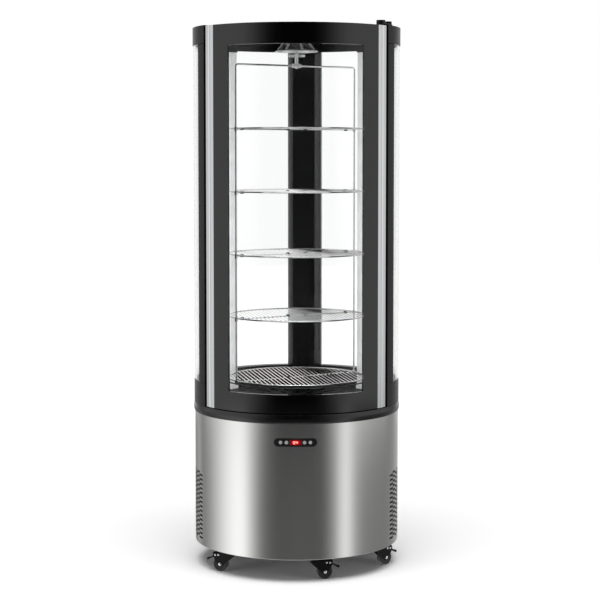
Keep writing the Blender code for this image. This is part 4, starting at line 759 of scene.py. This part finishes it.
# Door: radii and heights in pairs, low and high
DOOR_BOTTOM = 0.540
DOOR_TOP = 1.764
DOOR_HALF = radians(57.95)
FRAME_HALF = radians(50.5)
FRAME_RADII = (0.316, 0.3357)
OPENING_HALF = radians(42.9)
OPENING_HEIGHTS = (0.593, 1.703)
PANE_RADII = (0.336, BODY_RADIUS)
DOOR_INSET = 0.0005  # glass and strips stop this far short of the frame
PANE_SEAM = 0.00005
PRINT_HALF = radians(39.0)
PRINT_HEIGHTS = (0.601, 1.697)
STRIP_START = radians(50.58)
STRIP_STEPS = 24
STRIP_BACK_STEPS = 8
STRIP_EDGE = 0.0004
GROOVE_DEPTH = 0.0012
GROOVE_HALF_SHARE = 0.06
GASKET_BASE = ((0.3125, 0.3157), radians(50.1), (0.546, 1.747), radians(47.4), (0.558, 1.735))
GASKET_LIP = ((0.3078, 0.3128), radians(49.5), (0.549, 1.744), radians(48.0), (0.555, 1.738))


def frame_band(radii, half, heights, hole_half, hole_heights):
    """A curved frame: a swept plate with a window in it."""
    hole = block((radii[0] - OVERRUN, hole_heights[0]), (radii[1] + OVERRUN, hole_heights[1]))
    whole = block((radii[0], heights[0]), (radii[1], heights[1]))
    return cut(swept(whole, -half, half), swept(hole, -hole_half, hole_half))


def strip_mesh():
    """An upright strip with a shallow groove down its middle."""
    width = DOOR_HALF - STRIP_START
    outline = []
    for share in shares(STRIP_STEPS):
        depth = GROOVE_DEPTH if abs(share - 0.5) < GROOVE_HALF_SHARE else 0.0
        outline.append(tuple(polar(BODY_RADIUS - depth, STRIP_START + width * share).xy))
    for share in shares(STRIP_BACK_STEPS):
        outline.append(tuple(polar(FRAME_RADII[0], DOOR_HALF - width * share).xy))
    return plate(outline, DOOR_BOTTOM, DOOR_TOP - DOOR_INSET)


def build_door():
    """The door, its glass drawn as a clear pane inside a printed border."""
    heights = (DOOR_BOTTOM, DOOR_TOP)
    frame_mesh = frame_band(FRAME_RADII, FRAME_HALF, heights, OPENING_HALF, OPENING_HEIGHTS)
    piece("door_frame_skin", frame_mesh, PRINT, "door", ["door_frame"], FINE_EDGE)
    heights = (DOOR_BOTTOM + DOOR_INSET, DOOR_TOP - DOOR_INSET)
    border = frame_band(PANE_RADII, FRAME_HALF, heights, PRINT_HALF, PRINT_HEIGHTS)
    piece("door_print_skin", border, PRINTED, "door", ["door_glass"])
    inner, outer = PANE_RADII
    low, high = PRINT_HEIGHTS
    half = PRINT_HALF - PANE_SEAM / BODY_RADIUS
    pane = swept(block((inner, low + PANE_SEAM), (outer, high - PANE_SEAM)), -half, half)
    glass = piece("door_glass_skin", pane, GLASS, "door", ["door_glass"])
    glass.visible_shadow = False
    right = strip_mesh()
    left = mirrored(right)
    for name, mesh in (("hinge_strip", right), ("handle_strip", left)):
        piece(name + "_skin", mesh, STRIP, "door", [name], STRIP_EDGE)
    gasket = grouped([frame_band(*GASKET_BASE), frame_band(*GASKET_LIP)])
    piece("gasket_skin", gasket, RUBBER, "door", ["door_gasket"], EDGE)


# Hinges
HINGE_AZIMUTH = radians(55.5)
HINGE_RADIUS = 0.328
ANCHOR_AZIMUTH = radians(65.5)
ANCHOR_RADIUS = 0.325
STRAP_HEIGHTS = (1.7663, 1.770)
STRAP_RADIUS = 0.0135
KNUCKLE = (0.0145, 1.769, 1.780)  # radius, bottom, top
FIXING_SCREW = (0.0115, 1.769, 1.7793)
TOP_PIN = (0.004, 1.7437, 1.767)
BOTTOM_PIN = ((0.004, 0.5278, 0.5373), (0.008, 0.5373, 0.5397), (0.004, 0.5397, 0.5603))
BOTTOM_PIN_EDGE = 0.0003


def build_hinges():
    pivot = polar(HINGE_RADIUS, HINGE_AZIMUTH)
    fixing = polar(ANCHOR_RADIUS, ANCHOR_AZIMUTH)
    along = atan2(fixing.y - pivot.y, fixing.x - pivot.x)
    near = arc(pivot.xy, KNUCKLE[0], along + pi / 2, along + 3 * pi / 2, 16)
    far = arc(fixing.xy, STRAP_RADIUS, along - pi / 2, along + pi / 2, 16)
    parts = [
        plate(near + far, *STRAP_HEIGHTS),
        moved(rod(40, KNUCKLE), shift(*pivot)),
        moved(rod(32, FIXING_SCREW), shift(*fixing)),
        moved(rod(24, TOP_PIN), shift(*pivot)),
    ]
    piece("top_hinge_skin", grouped(parts), SATIN, "case", ["top_hinge"], EDGE)
    pin = moved(rod(32, *BOTTOM_PIN), shift(*pivot))
    piece("bottom_pin_skin", pin, ZINC, "case", ["bottom_hinge_pin"], BOTTOM_PIN_EDGE)


# Control panel: depths are radii from the axis
PANEL_DEPTH = 0.009
PANEL_EDGE = 0.0004
RECESS_DEPTHS = (0.3362, 0.345)
LENS_DEPTHS = (0.3365, 0.3384)
LENS_EDGE = 0.0003
DISPLAY_WIDTH = 0.039
DISPLAY_HEIGHT = 0.017
BUTTON_OFFSETS = (-0.047, -0.0285, 0.0285, 0.047)
BUTTON_HOLE = 0.0116
BUTTON_HOLE_DEPTHS = (0.325, 0.35)
BUTTON_BACK = [(0, 0.3283), (0.0068, 0.3283), (0.0068, 0.3295), (0.0055, 0.3295)]
BUTTON_CORNER = (0.0043, 0.3393)
BUTTON_ROUND = 0.0012
BUTTON_DIMPLE = [(0.0028, 0.3405), (0.0022, 0.3402), (0, 0.3402)]
DIGIT_DEPTHS = (0.33845, 0.33865)
DIGIT_OFFSET = 0.0042
DIGIT_WIDTH = 0.0044
DIGIT_HALF_HEIGHT = 0.0036
LEVEL_BAR = (0.003256, 0.0012)
UPRIGHT_BAR = (0.0012, 0.002808)
SEGMENTS = {"0": "abcdef", "4": "bcfg"}
# Sideways and up in digit widths and half heights, and whether the bar lies level
SEGMENT_PLACES = {
    "a": (0, 1, True),
    "b": (0.5, 0.5, False),
    "c": (0.5, -0.5, False),
    "d": (0, -1, True),
    "e": (-0.5, -0.5, False),
    "f": (-0.5, 0.5, False),
    "g": (0, 0, True),
}


def centred(middle, width, height):
    """A rectangle of the given width and height round a middle."""
    s, z = middle
    return block((s - width / 2, z - height / 2), (s + width / 2, z + height / 2))


def digit(symbol, middle):
    """Lit bars of one digit on the display."""
    bars = []
    for name in SEGMENTS[symbol]:
        sideways, up, level = SEGMENT_PLACES[name]
        size = LEVEL_BAR if level else UPRIGHT_BAR
        place = (middle + sideways * DIGIT_WIDTH, PANEL_MIDDLE + up * DIGIT_HALF_HEIGHT)
        bars.append(wrapped(centred(place, *size), *DIGIT_DEPTHS))
    return bars


def build_panel():
    middle = (0.0, PANEL_MIDDLE)
    outline = [(x, y + PANEL_MIDDLE) for x, y in stadium(PANEL_WIDTH, PANEL_HEIGHT, 12)]
    face = wrapped(outline, PANEL_RADIUS - PANEL_DEPTH, PANEL_RADIUS)
    hole = plate(stadium(BUTTON_HOLE, BUTTON_HOLE, 12), *BUTTON_HOLE_DEPTHS)
    places = []
    for offset in BUTTON_OFFSETS:
        places.append((facing(asin(offset / PANEL_RADIUS)), shift(0, 0, PANEL_MIDDLE), OUTWARD))
    recess = centred(middle, DISPLAY_WIDTH + 2 * SEAT_GAP, DISPLAY_HEIGHT + 2 * SEAT_GAP)
    face = cut(face, grouped([moved(hole, *place) for place in places] + [wrapped(recess, *RECESS_DEPTHS)]))
    piece("panel_skin", face, PANEL, "case", ["control_panel"], PANEL_EDGE)
    lens = wrapped(centred(middle, DISPLAY_WIDTH, DISPLAY_HEIGHT), *LENS_DEPTHS)
    piece("display_skin", lens, LENS, "case", ["display_window"], LENS_EDGE)
    bars = digit("0", -DIGIT_OFFSET) + digit("4", DIGIT_OFFSET)
    piece("display_digits", grouped(bars), DIGITS, "case")
    cap = turned(BUTTON_BACK + arc(BUTTON_CORNER, BUTTON_ROUND, 0, pi / 2, 4) + BUTTON_DIMPLE, 32)
    for index, place in enumerate(places):
        name = "button_" + str(index + 1)
        piece(name + "_cap", moved(cap, *place), CAP_GREY, name, [name])


# Rack drive: canopy with its ribs and rim, shaft, star nut and washer
CANOPY_TOP = 1.7497
CANOPY_HEIGHT = 0.0585
CANOPY_THROAT = 0.040
CANOPY_FLARE = 0.0285
CANOPY_POWER = 3.0
CANOPY_WALL = 0.0015
CANOPY_LIP = 0.069
CANOPY_STEPS = 24
CANOPY_SIDES = 96
RIBS = 7
RIB_START = radians(-33)
RIB_SHARES = (0.0, 0.25, 0.5, 0.65, 0.8, 0.9)
RIB_LIFT = 0.0005
RIB_RADIUS = 0.0042
RIM_RADIUS = 0.0685
RIM_LIFT = 0.0005
RIM_WIRE = 0.0020
NUT_LOBES = 7
NUT_STEPS = 84
NUT_REACH = 0.0245
NUT_LOBE = 0.0033
NUT_HEIGHTS = (1.6730, 1.6807)
WASHER = (0.011, 1.6807, 1.6825)  # radius, bottom, top
SHAFT = ((0.009, 1.7117, 1.6952), (0.0055, 1.6945, 1.6413))  # from the top down


def canopy_point(share):
    """Radius and height of the canopy's outside, from its throat down."""
    return (CANOPY_THROAT + CANOPY_FLARE * share**CANOPY_POWER, CANOPY_TOP - CANOPY_HEIGHT * share)


def build_drive():
    outside = [canopy_point(share) for share in shares(CANOPY_STEPS)]
    lip = arc((CANOPY_LIP, CANOPY_TOP - CANOPY_HEIGHT), CANOPY_WALL, -pi / 6, -5 * pi / 6, 6)
    inside = [(radius - CANOPY_WALL, height) for radius, height in reversed(outside)]
    canopy = turned(outside + lip + inside, CANOPY_SIDES)
    piece("canopy_skin", canopy, SPUN_AND_SHEEN, "case", ["motor_canopy"])
    line = [canopy_point(share) for share in RIB_SHARES]
    rib = tube([(0, -radius - RIB_LIFT, height) for radius, height in line], RIB_RADIUS, 12)
    ribs = [moved(rib, facing(RIB_START + turn)) for turn in spokes(RIBS)]
    # The ribs and the rim carry a painted highlight: a pale, nearly diffuse white.
    piece("canopy_ribs", grouped(ribs), PALE_HIGHLIGHT, "case")
    rim_height = CANOPY_TOP - CANOPY_HEIGHT + RIM_LIFT
    rim = tube(circle(RIM_RADIUS, rim_height, CANOPY_SIDES), RIM_WIRE, 10, True)
    piece("canopy_rim", rim, PALE_HIGHLIGHT, "case")
    star = []
    for angle in spokes(NUT_STEPS):
        reach = NUT_REACH + NUT_LOBE * cos(NUT_LOBES * angle)
        star.append((reach * cos(angle), reach * sin(angle)))
    shaft = grouped([rod(40, *SHAFT), plate(star, *NUT_HEIGHTS), rod(6, WASHER)])
    piece("shaft_skin", shaft, POLISHED, "rack", ["drive_shaft"], FINE_EDGE)


# Rack: sizes along the bar, and heights from the floor or from a shelf's middle
RACK_TURN = radians(33.0)
RACK_HALF = 0.232
RACK_WIRE = 0.003
RACK_BOTTOM = 0.604
RACK_CORNER = 0.009
BAR_HEIGHT = 1.6443
STOP = (0.0055, -0.0093, -0.0043)  # radius, bottom, top
BARREL = (0.0068, -0.015, 0.015)
CLAMP_CORNERS = ((-0.009, -0.007, -0.006), (0.009, 0.007, 0.0077))
CLAMP_NUT = (0.0062, 0.006, 24)  # radius, height and sides of a dome
CLAMP_NUT_FACE = -0.006
CLAMP_NUT_PLACES = (-0.010, 0.010)
ACORN = (0.0065, 0.008, 24)
ACORN_DROP = 0.0022
SHELF_HEIGHTS = (1.438, 1.232, 1.026, 0.820, 0.614)
SHELF_RADIUS = 0.226
SHELF_WIRE = 0.0025
MESH_WIRE = 0.0017
MESH_WIRES = 31
MESH_PITCH = 0.0142
MESH_TURN = radians(-21.0)
BRACE_WIRE = 0.002
BRACE_DROP = 0.0024
SLEEVE_CORNERS = ((0.0033, -0.004), (0.0055, 0.004))
CLIP_PLACES = (-0.210, -0.034, 0.034, 0.196)
CLIP_CORNERS = ((-0.005, -0.005, -0.0062), (0.005, 0.005, 0.0030))
BUMPER_RADIUS = 0.2403
BUMPER_HEIGHT = 0.60725
BUMPER_WIRE = 0.00225
ROUND_SIDES = 128


def rack_mesh():
    """The hanging wire frame, with a stop under each shelf on both its sides."""
    reach = RACK_HALF - RACK_CORNER
    corner = BAR_HEIGHT - RACK_CORNER
    left = arc((-reach, corner), RACK_CORNER, pi, pi / 2, 8)
    right = arc((reach, corner), RACK_CORNER, pi / 2, 0, 8)
    path = [(-RACK_HALF, RACK_BOTTOM)] + left + right + [(RACK_HALF, RACK_BOTTOM)]
    parts = [tube([(x, 0, z) for x, z in path], RACK_WIRE, 14)]
    stop = rod(20, STOP)
    for height in SHELF_HEIGHTS:
        for side in (-1, 1):
            parts.append(moved(stop, shift(side * RACK_HALF, 0, height)))
    return grouped(parts)


def clamp_mesh():
    """The clamp that joins the frame's bar to the shaft."""
    parts = [moved(rod(32, BARREL), SIDEWAYS), box(*CLAMP_CORNERS)]
    parts.append(moved(dome(*ACORN), shift(0, 0, -ACORN_DROP), DOWN))
    for x in CLAMP_NUT_PLACES:
        parts.append(moved(dome(*CLAMP_NUT), shift(x, CLAMP_NUT_FACE, 0), OUTWARD))
    return moved(grouped(parts), shift(0, 0, BAR_HEIGHT))


def shelf_mesh():
    """A round wire shelf, with its brace and the sleeves that slide on the frame."""
    parts = [tube(circle(SHELF_RADIUS, 0, ROUND_SIDES), SHELF_WIRE, 12, True)]
    for index in range(MESH_WIRES):
        x = (index - (MESH_WIRES - 1) / 2) * MESH_PITCH
        half = sqrt(SHELF_RADIUS**2 - x**2)
        parts.append(moved(tube([(x, -half, 0), (x, half, 0)], MESH_WIRE, 8), facing(MESH_TURN)))
    parts.append(tube([(-SHELF_RADIUS, 0, -BRACE_DROP), (SHELF_RADIUS, 0, -BRACE_DROP)], BRACE_WIRE, 8))
    sleeve = turned(block(*SLEEVE_CORNERS), 24)
    for side in (-1, 1):
        parts.append(moved(sleeve, shift(side * RACK_HALF, 0, 0)))
    return grouped(parts)


def build_rack():
    turn = facing(RACK_TURN)
    piece("rack_skin", moved(rack_mesh(), turn), CHROME, "rack", ["rack_frame"])
    piece("rack_clamp", moved(clamp_mesh(), turn), POLISHED, "rack", edge=FINE_EDGE)
    shelf = shelf_mesh()
    saddle = box(*CLIP_CORNERS)
    clips = []
    for index, height in enumerate(SHELF_HEIGHTS):
        name = "shelf_" + str(index + 1)
        piece(name + "_skin", moved(shelf, shift(0, 0, height), turn), CHROME, "rack", [name])
        for x in CLIP_PLACES:
            clips.append(moved(saddle, turn, shift(x, 0, height)))
    piece("shelf_clips", grouped(clips), SATIN, "rack", edge=EDGE)
    bumper = tube(circle(BUMPER_RADIUS, BUMPER_HEIGHT, ROUND_SIDES), BUMPER_WIRE, 10, True)
    piece("bumper_skin", bumper, RUBBER, "rack", ["rack_bumper_ring"])


# Casters: drawn with the kingpin on the axis and the wheel trailing towards +X
CASTER_CIRCLE = 0.287
CASTER_AZIMUTHS = (-49, 13, 69, 131, 191, 251)
CASTER_HEADINGS = (160, 12, 38, 120, 200, 60)
BRAKED_CASTERS = 3
WHEEL_RADIUS = 0.025
WHEEL_HALF = 0.010
TREAD_ROUND = 0.004
TREAD_FLAT = 0.002
# The wheel's side from the tread in: radius and depth
HUB_PROFILE = (
    (0.0195, 0.0), (0.019, 0.0012), (0.013, 0.0022),
    (0.0085, 0.0012), (0.0080, 0.0), (0.0045, 0.0),
)
TRAIL = 0.028
FORK_INNER = 0.0112
FORK_OUTER = 0.0137
FORK_WALL = FORK_OUTER - FORK_INNER
FORK_HEIGHT = 0.063
FORK_NOSE = -0.016
FORK_NOSE_DROP = 0.011
FORK_TAIL = 0.040
FORK_BRAKED_TAIL = 0.052
FORK_TAIL_DROP = 0.014
FORK_HUB = 0.009
CROWN_WALL = 0.003
RACEWAY = ((0, 0.062), (0.015, 0.062), (0.0165, 0.067), (0.0165, 0.074), (0.013, 0.0787), (0, 0.0787))
KINGPIN = ((0.005, 0.075, 0.0843), (0.009, 0.0843, 0.0883))  # lengths: radius, bottom, top
AXLE_RADIUS = 0.004
AXLE_CAP = (0.0052, 0.003, 24)  # radius, height and sides of a dome
RIVET = (0.0034, 0.0016, 20)
RIVET_PLACE = (0.0325, 0.0555)
PEDAL_PIVOT = (0.0435, 0.0545)
PEDAL_HALF = 0.009
PEDAL_TILT = radians(-30)
PEDAL_HUB = 0.004
PEDAL_BLADE = (
    (0.004, -0.0025), (0.034, -0.0025), (0.036, -0.0010), (0.036, 0.0050),
    (0.0330, 0.0050), (0.0325, 0.0025), (0.004, 0.0025),
)


def across(mesh, reach, height):
    """Turns a shape built up +Z so that it lies across the caster, at a reach and a height."""
    return moved(mesh, shift(reach, 0, height), OUTWARD)


def fork_mesh(braked):
    tail = FORK_BRAKED_TAIL if braked else FORK_TAIL
    outline = [(tail, FORK_HEIGHT), (FORK_NOSE, FORK_HEIGHT), (FORK_NOSE, FORK_HEIGHT - FORK_NOSE_DROP)]
    outline += arc((TRAIL, WHEEL_RADIUS), FORK_HUB, radians(205), radians(350), 12)
    outline += [(tail, FORK_HEIGHT - FORK_TAIL_DROP)]
    cheeks = [across(plate(outline, low, low + FORK_WALL), 0, 0) for low in (-FORK_OUTER, FORK_INNER)]
    crown = box((FORK_NOSE, -FORK_OUTER, FORK_HEIGHT - CROWN_WALL), (tail, FORK_OUTER, FORK_HEIGHT))
    return grouped(cheeks + [crown, turned(RACEWAY, 48), rod(24, *KINGPIN)])


def head_pair(head):
    """Two low domes, one on the outside of each cheek."""
    right = moved(dome(*head), shift(0, 0, FORK_OUTER))
    return [right, moved(right, DOWN)]


def axle_mesh():
    shaft = rod(20, (AXLE_RADIUS, -FORK_OUTER, FORK_OUTER))
    return across(grouped(head_pair(AXLE_CAP) + [shaft]), TRAIL, WHEEL_RADIUS)


def wheel_mesh():
    crown = arc((WHEEL_RADIUS - TREAD_ROUND, WHEEL_HALF - TREAD_ROUND), TREAD_ROUND, 0, pi / 2, 5)
    hub = [(radius, WHEEL_HALF - depth) for radius, depth in HUB_PROFILE]
    right = [(WHEEL_RADIUS, TREAD_FLAT)] + crown + hub
    left = [(r, -z) for r, z in reversed(right)]
    return across(turned(right + left, 64), TRAIL, WHEEL_RADIUS)


def pedal_mesh():
    outline = arc((0, 0), PEDAL_HUB, radians(50), radians(310), 14) + list(PEDAL_BLADE)
    lever = moved(plate(outline, -PEDAL_HALF, PEDAL_HALF), Matrix.Rotation(PEDAL_TILT, 4, "Z"))
    return across(lever, *PEDAL_PIVOT)


def build_casters():
    axle = axle_mesh()
    wheel = wheel_mesh()
    pedal = pedal_mesh()
    rivets = grouped(head_pair(RIVET))
    for index, (azimuth, heading) in enumerate(zip(CASTER_AZIMUTHS, CASTER_HEADINGS)):
        number = str(index + 1)
        braked = index < BRAKED_CASTERS
        place = shift(*polar(CASTER_CIRCLE, radians(azimuth))) @ facing(radians(heading))
        caster = "caster_" + number
        fork = moved(fork_mesh(braked), place)
        piece("fork_skin_" + number, fork, SATIN, caster, ["fork_" + number], FINE_EDGE)
        piece("axle_caps_" + number, moved(axle, place), CHROME, caster)
        name = "wheel_" + number
        piece("wheel_skin_" + number, moved(wheel, place), TREAD, name, [name])
        if braked:
            name = "pedal_" + number
            lever = moved(pedal, place)
            piece("pedal_skin_" + number, lever, SATIN, name, [name], FINE_EDGE)
            heads = moved(across(rivets, *PEDAL_PIVOT), place)
            piece("pedal_rivets_" + number, heads, CHROME, name)
            heads = moved(across(rivets, *RIVET_PLACE), place)
            piece("fork_rivets_" + number, heads, CHROME, caster)


# Solids that keep their shape
CARRIED = {
    # the base plate's near black is painted shade under the case
    "base_plate": SHADE_PLATE,
    "cable_gland": PLASTIC,
    "compressor": ENAMEL,
    "condenser": COIL,
    "condenser_fan": PLASTIC,
    "drive_motor": PLASTIC,
    "evaporator": COIL,
    "evaporator_fan": PLASTIC,
    "fan_shroud": ZINC,
}


def build_carried():
    for name, material in CARRIED.items():
        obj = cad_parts[name]
        for slot in obj.material_slots:
            slot.material = material


# Studio: white world, pale floor, a curved screen that only reflections see, and lamps
WHITE = (1.0, 1.0, 1.0, 1)
AMBIENT = 0.27
FLOOR_HALF = 14.0
FLOOR_WALL = 0.02
FLOOR_TINT = (0.80, 0.80, 0.80, 1)
FLOOR_SHOWN = (1.05, 1.05, 1.05, 1)
SCREEN_RADIUS = 7.0
SCREEN_HEIGHTS = (-6.0, 8.0)
SCREEN_SIDES = 96
SCREEN_BRIGHTEST = 2.0
SCREEN_BLEND = (-0.62, -0.42)
UPPER_LEVELS = (
    (0, 0.01), (13, 0.01), (21, 0.03), (30, 0.14), (39, 0.43), (49, 0.83),
    (58, 1.09), (68, 1.13), (79, 1.06), (90, 0.93), (100, 0.80), (116, 0.74),
    (128, 0.30), (142, 0.40), (152, 1.00), (180, 1.00),
)
LOWER_LEVELS = (
    (-180, 0.30), (-168, 0.75), (-156, 0.22), (-140, 0.52), (-130, 0.24), (-114, 0.38),
    (-98, 0.78), (-84, 1.25), (-70, 1.58), (-60, 1.62), (-50, 0.80), (-40, 0.26),
    (-30, 0.14), (-18, 0.115), (0, 0.135), (18, 0.125), (30, 0.11), (42, 0.38),
    (50, 1.05), (57, 1.36), (63, 0.85), (70, 0.42), (80, 0.27), (92, 0.25),
    (120, 0.25), (138, 0.34), (156, 0.55), (180, 0.55),
)


def light_path_choice(tree, wanted):
    """A socket that is 1 for the wanted kinds of ray."""
    path = added(tree, "LightPath")
    result = path.outputs[wanted[0]]
    for name in wanted[1:]:
        result = computed(tree, "MAXIMUM", result, path.outputs[name])
    return result


def computed(tree, operation, *terms):
    """The result of a Math node on sockets and numbers."""
    node = added(tree, "Math")
    node.operation = operation
    for socket, term in zip(node.inputs, terms):
        plug(tree, socket, term)
    return node.outputs["Value"]


def chosen(tree, choice, first, second):
    """One of two shaders: the second where the choice is 1."""
    mix = added(tree, "MixShader", Fac=choice)
    tree.links.new(first, mix.inputs[1])
    tree.links.new(second, mix.inputs[2])
    return mix.outputs["Shader"]


def blended(tree, factor, first, second):
    """A mix of two colours: the second where the factor is 1."""
    mix = added(tree, "Mix")
    mix.data_type = "RGBA"
    for name, value in (("Factor", factor), ("A", first), ("B", second)):
        plug(tree, mix.inputs[name], value)
    return mix.outputs["Result"]


def reflected(tree):
    """A socket that is 1 on a path that has met a glossy surface."""
    return computed(tree, "GREATER_THAN", added(tree, "LightPath").outputs["Glossy Depth"], 0.5)


def studio_material(name, mesh):
    """A bare material on a mesh, with its node tree and its surface socket."""
    material = bpy.data.materials.new(name)
    material.use_nodes = True
    mesh.materials.append(material)
    tree = material.node_tree
    tree.nodes.remove(tree.nodes["Principled BSDF"])
    return material, tree, tree.nodes["Material Output"].inputs["Surface"]


def build_world():
    world = bpy.data.worlds.new("studio")
    bpy.context.scene.world = world
    world.use_nodes = True
    world.cycles.sampling_method = "NONE"
    tree = world.node_tree
    ambient = tree.nodes["Background"]
    ambient.inputs["Color"].default_value = WHITE
    ambient.inputs["Strength"].default_value = AMBIENT
    white = added(tree, "Background", Color=WHITE, Strength=1.0)
    seen = light_path_choice(tree, ["Is Camera Ray", "Is Glossy Ray", "Is Transmission Ray"])
    shown = chosen(tree, seen, ambient.outputs["Background"], white.outputs["Background"])
    tree.links.new(shown, tree.nodes["World Output"].inputs["Surface"])


def build_floor():
    mesh = plate(block((-FLOOR_HALF, -FLOOR_HALF), (FLOOR_HALF, FLOOR_HALF)), -FLOOR_WALL, 0.0)
    floor = placed("studio_floor", mesh)
    _, tree, surface = studio_material("studio_floor", mesh)
    seen = light_path_choice(tree, ["Is Camera Ray", "Is Transmission Ray"])
    paint = added(tree, "BsdfDiffuse", Color=blended(tree, seen, FLOOR_TINT, FLOOR_SHOWN))
    passed = added(tree, "BsdfTransparent")
    tree.links.new(chosen(tree, reflected(tree), paint.outputs["BSDF"], passed.outputs["BSDF"]), surface)


def levels(tree, share, table, start, end):
    """The brightness that a table of azimuths in degrees gives, against the screen's brightest."""
    stops = []
    for angle, level in table:
        grey = level / SCREEN_BRIGHTEST
        stops.append(((angle - start) / (end - start), (grey, grey, grey)))
    return ramp(tree, share, stops)


def build_screen():
    """A round screen that only reflections see: dark ahead, bright to both sides."""
    bm = bmesh.new()
    rows = []
    for azimuth in spokes(SCREEN_SIDES):
        rows.append([bm.verts.new(polar(SCREEN_RADIUS, azimuth, z)) for z in SCREEN_HEIGHTS])
    for near, far in zip(rows, rows[1:] + rows[:1]):
        bm.faces.new((near[0], far[0], far[1], near[1]))
    mesh = mesh_from(bm)
    screen = placed("studio_screen", mesh)
    material, tree, surface = studio_material("studio_screen", mesh)
    split = added(tree, "SeparateXYZ", Vector=added(tree, "TexCoord").outputs["Object"])
    ahead = computed(tree, "MULTIPLY", split.outputs["Y"], -1.0)
    azimuth = computed(tree, "ARCTAN2", split.outputs["X"], ahead)
    either = computed(tree, "ABSOLUTE", azimuth)
    upper = levels(tree, computed(tree, "MULTIPLY", either, 1 / pi), UPPER_LEVELS, 0, 180)
    around = computed(tree, "MULTIPLY_ADD", azimuth, 1 / (2 * pi), 0.5)
    lower = levels(tree, around, LOWER_LEVELS, -180, 180)
    low, high = SCREEN_BLEND
    blend = added(tree, "MapRange", Value=split.outputs["Z"], From_Min=low, From_Max=high)
    colour = blended(tree, blend.outputs["Result"], lower, upper)
    light = added(tree, "Emission", Color=colour, Strength=SCREEN_BRIGHTEST)
    passed = added(tree, "BsdfTransparent")
    tree.links.new(chosen(tree, reflected(tree), passed.outputs["BSDF"], light.outputs["Emission"]), surface)
    material.cycles.emission_sampling = "NONE"
    screen.visible_camera = False
    screen.visible_diffuse = False
    screen.visible_shadow = False


# Lamps: name, azimuth, elevation and spread in degrees, and what a white sheet that faces it shows
LAMPS = (
    ("top_lamp", 0, 76, 46, 0.76),
    ("left_lamp", -55, 5, 30, 0.22),
    ("right_lamp", 55, 5, 30, 0.20),
)


def build_lights():
    """Soft lamps without falloff, which reflections don't show."""
    for name, azimuth, elevation, spread, level in LAMPS:
        data = bpy.data.lights.new(name, "SUN")
        data.energy = level * pi
        data.angle = radians(spread)
        obj = placed(name, data)
        rise = radians(elevation)
        from_lamp = -polar(cos(rise), radians(azimuth), sin(rise))
        obj.rotation_euler = from_lamp.to_track_quat("-Z", "Y").to_euler()
        obj.visible_glossy = False


# Camera
CAMERA_DISTANCE = 5.5
CAMERA_HEIGHT = 1.368
CAMERA_AZIMUTH = radians(0.59)
CAMERA_YAW = radians(0.12)
CAMERA_PITCH = radians(3.73)
CAMERA_LENS = 99.5
CAMERA_SENSOR = 36.0
CAMERA_SHIFT = -0.07


def build_camera():
    data = bpy.data.cameras.new("camera")
    data.lens = CAMERA_LENS
    data.sensor_width = CAMERA_SENSOR
    data.shift_y = CAMERA_SHIFT
    obj = placed("camera", data)
    obj.location = polar(CAMERA_DISTANCE, CAMERA_AZIMUTH, CAMERA_HEIGHT)
    obj.rotation_euler = (pi / 2 - CAMERA_PITCH, 0, CAMERA_AZIMUTH - CAMERA_YAW)
    bpy.context.scene.camera = obj
    bpy.context.scene.view_settings.view_transform = "Standard"


build_camera()
build_world()
build_floor()
build_screen()
build_lights()
build_shell()
build_ring()
build_band()
build_posts()
build_glass()
build_column()
build_cap()
build_lamps()
build_deck()
build_door()
build_hinges()
build_panel()
build_drive()
build_rack()
build_casters()
build_carried()
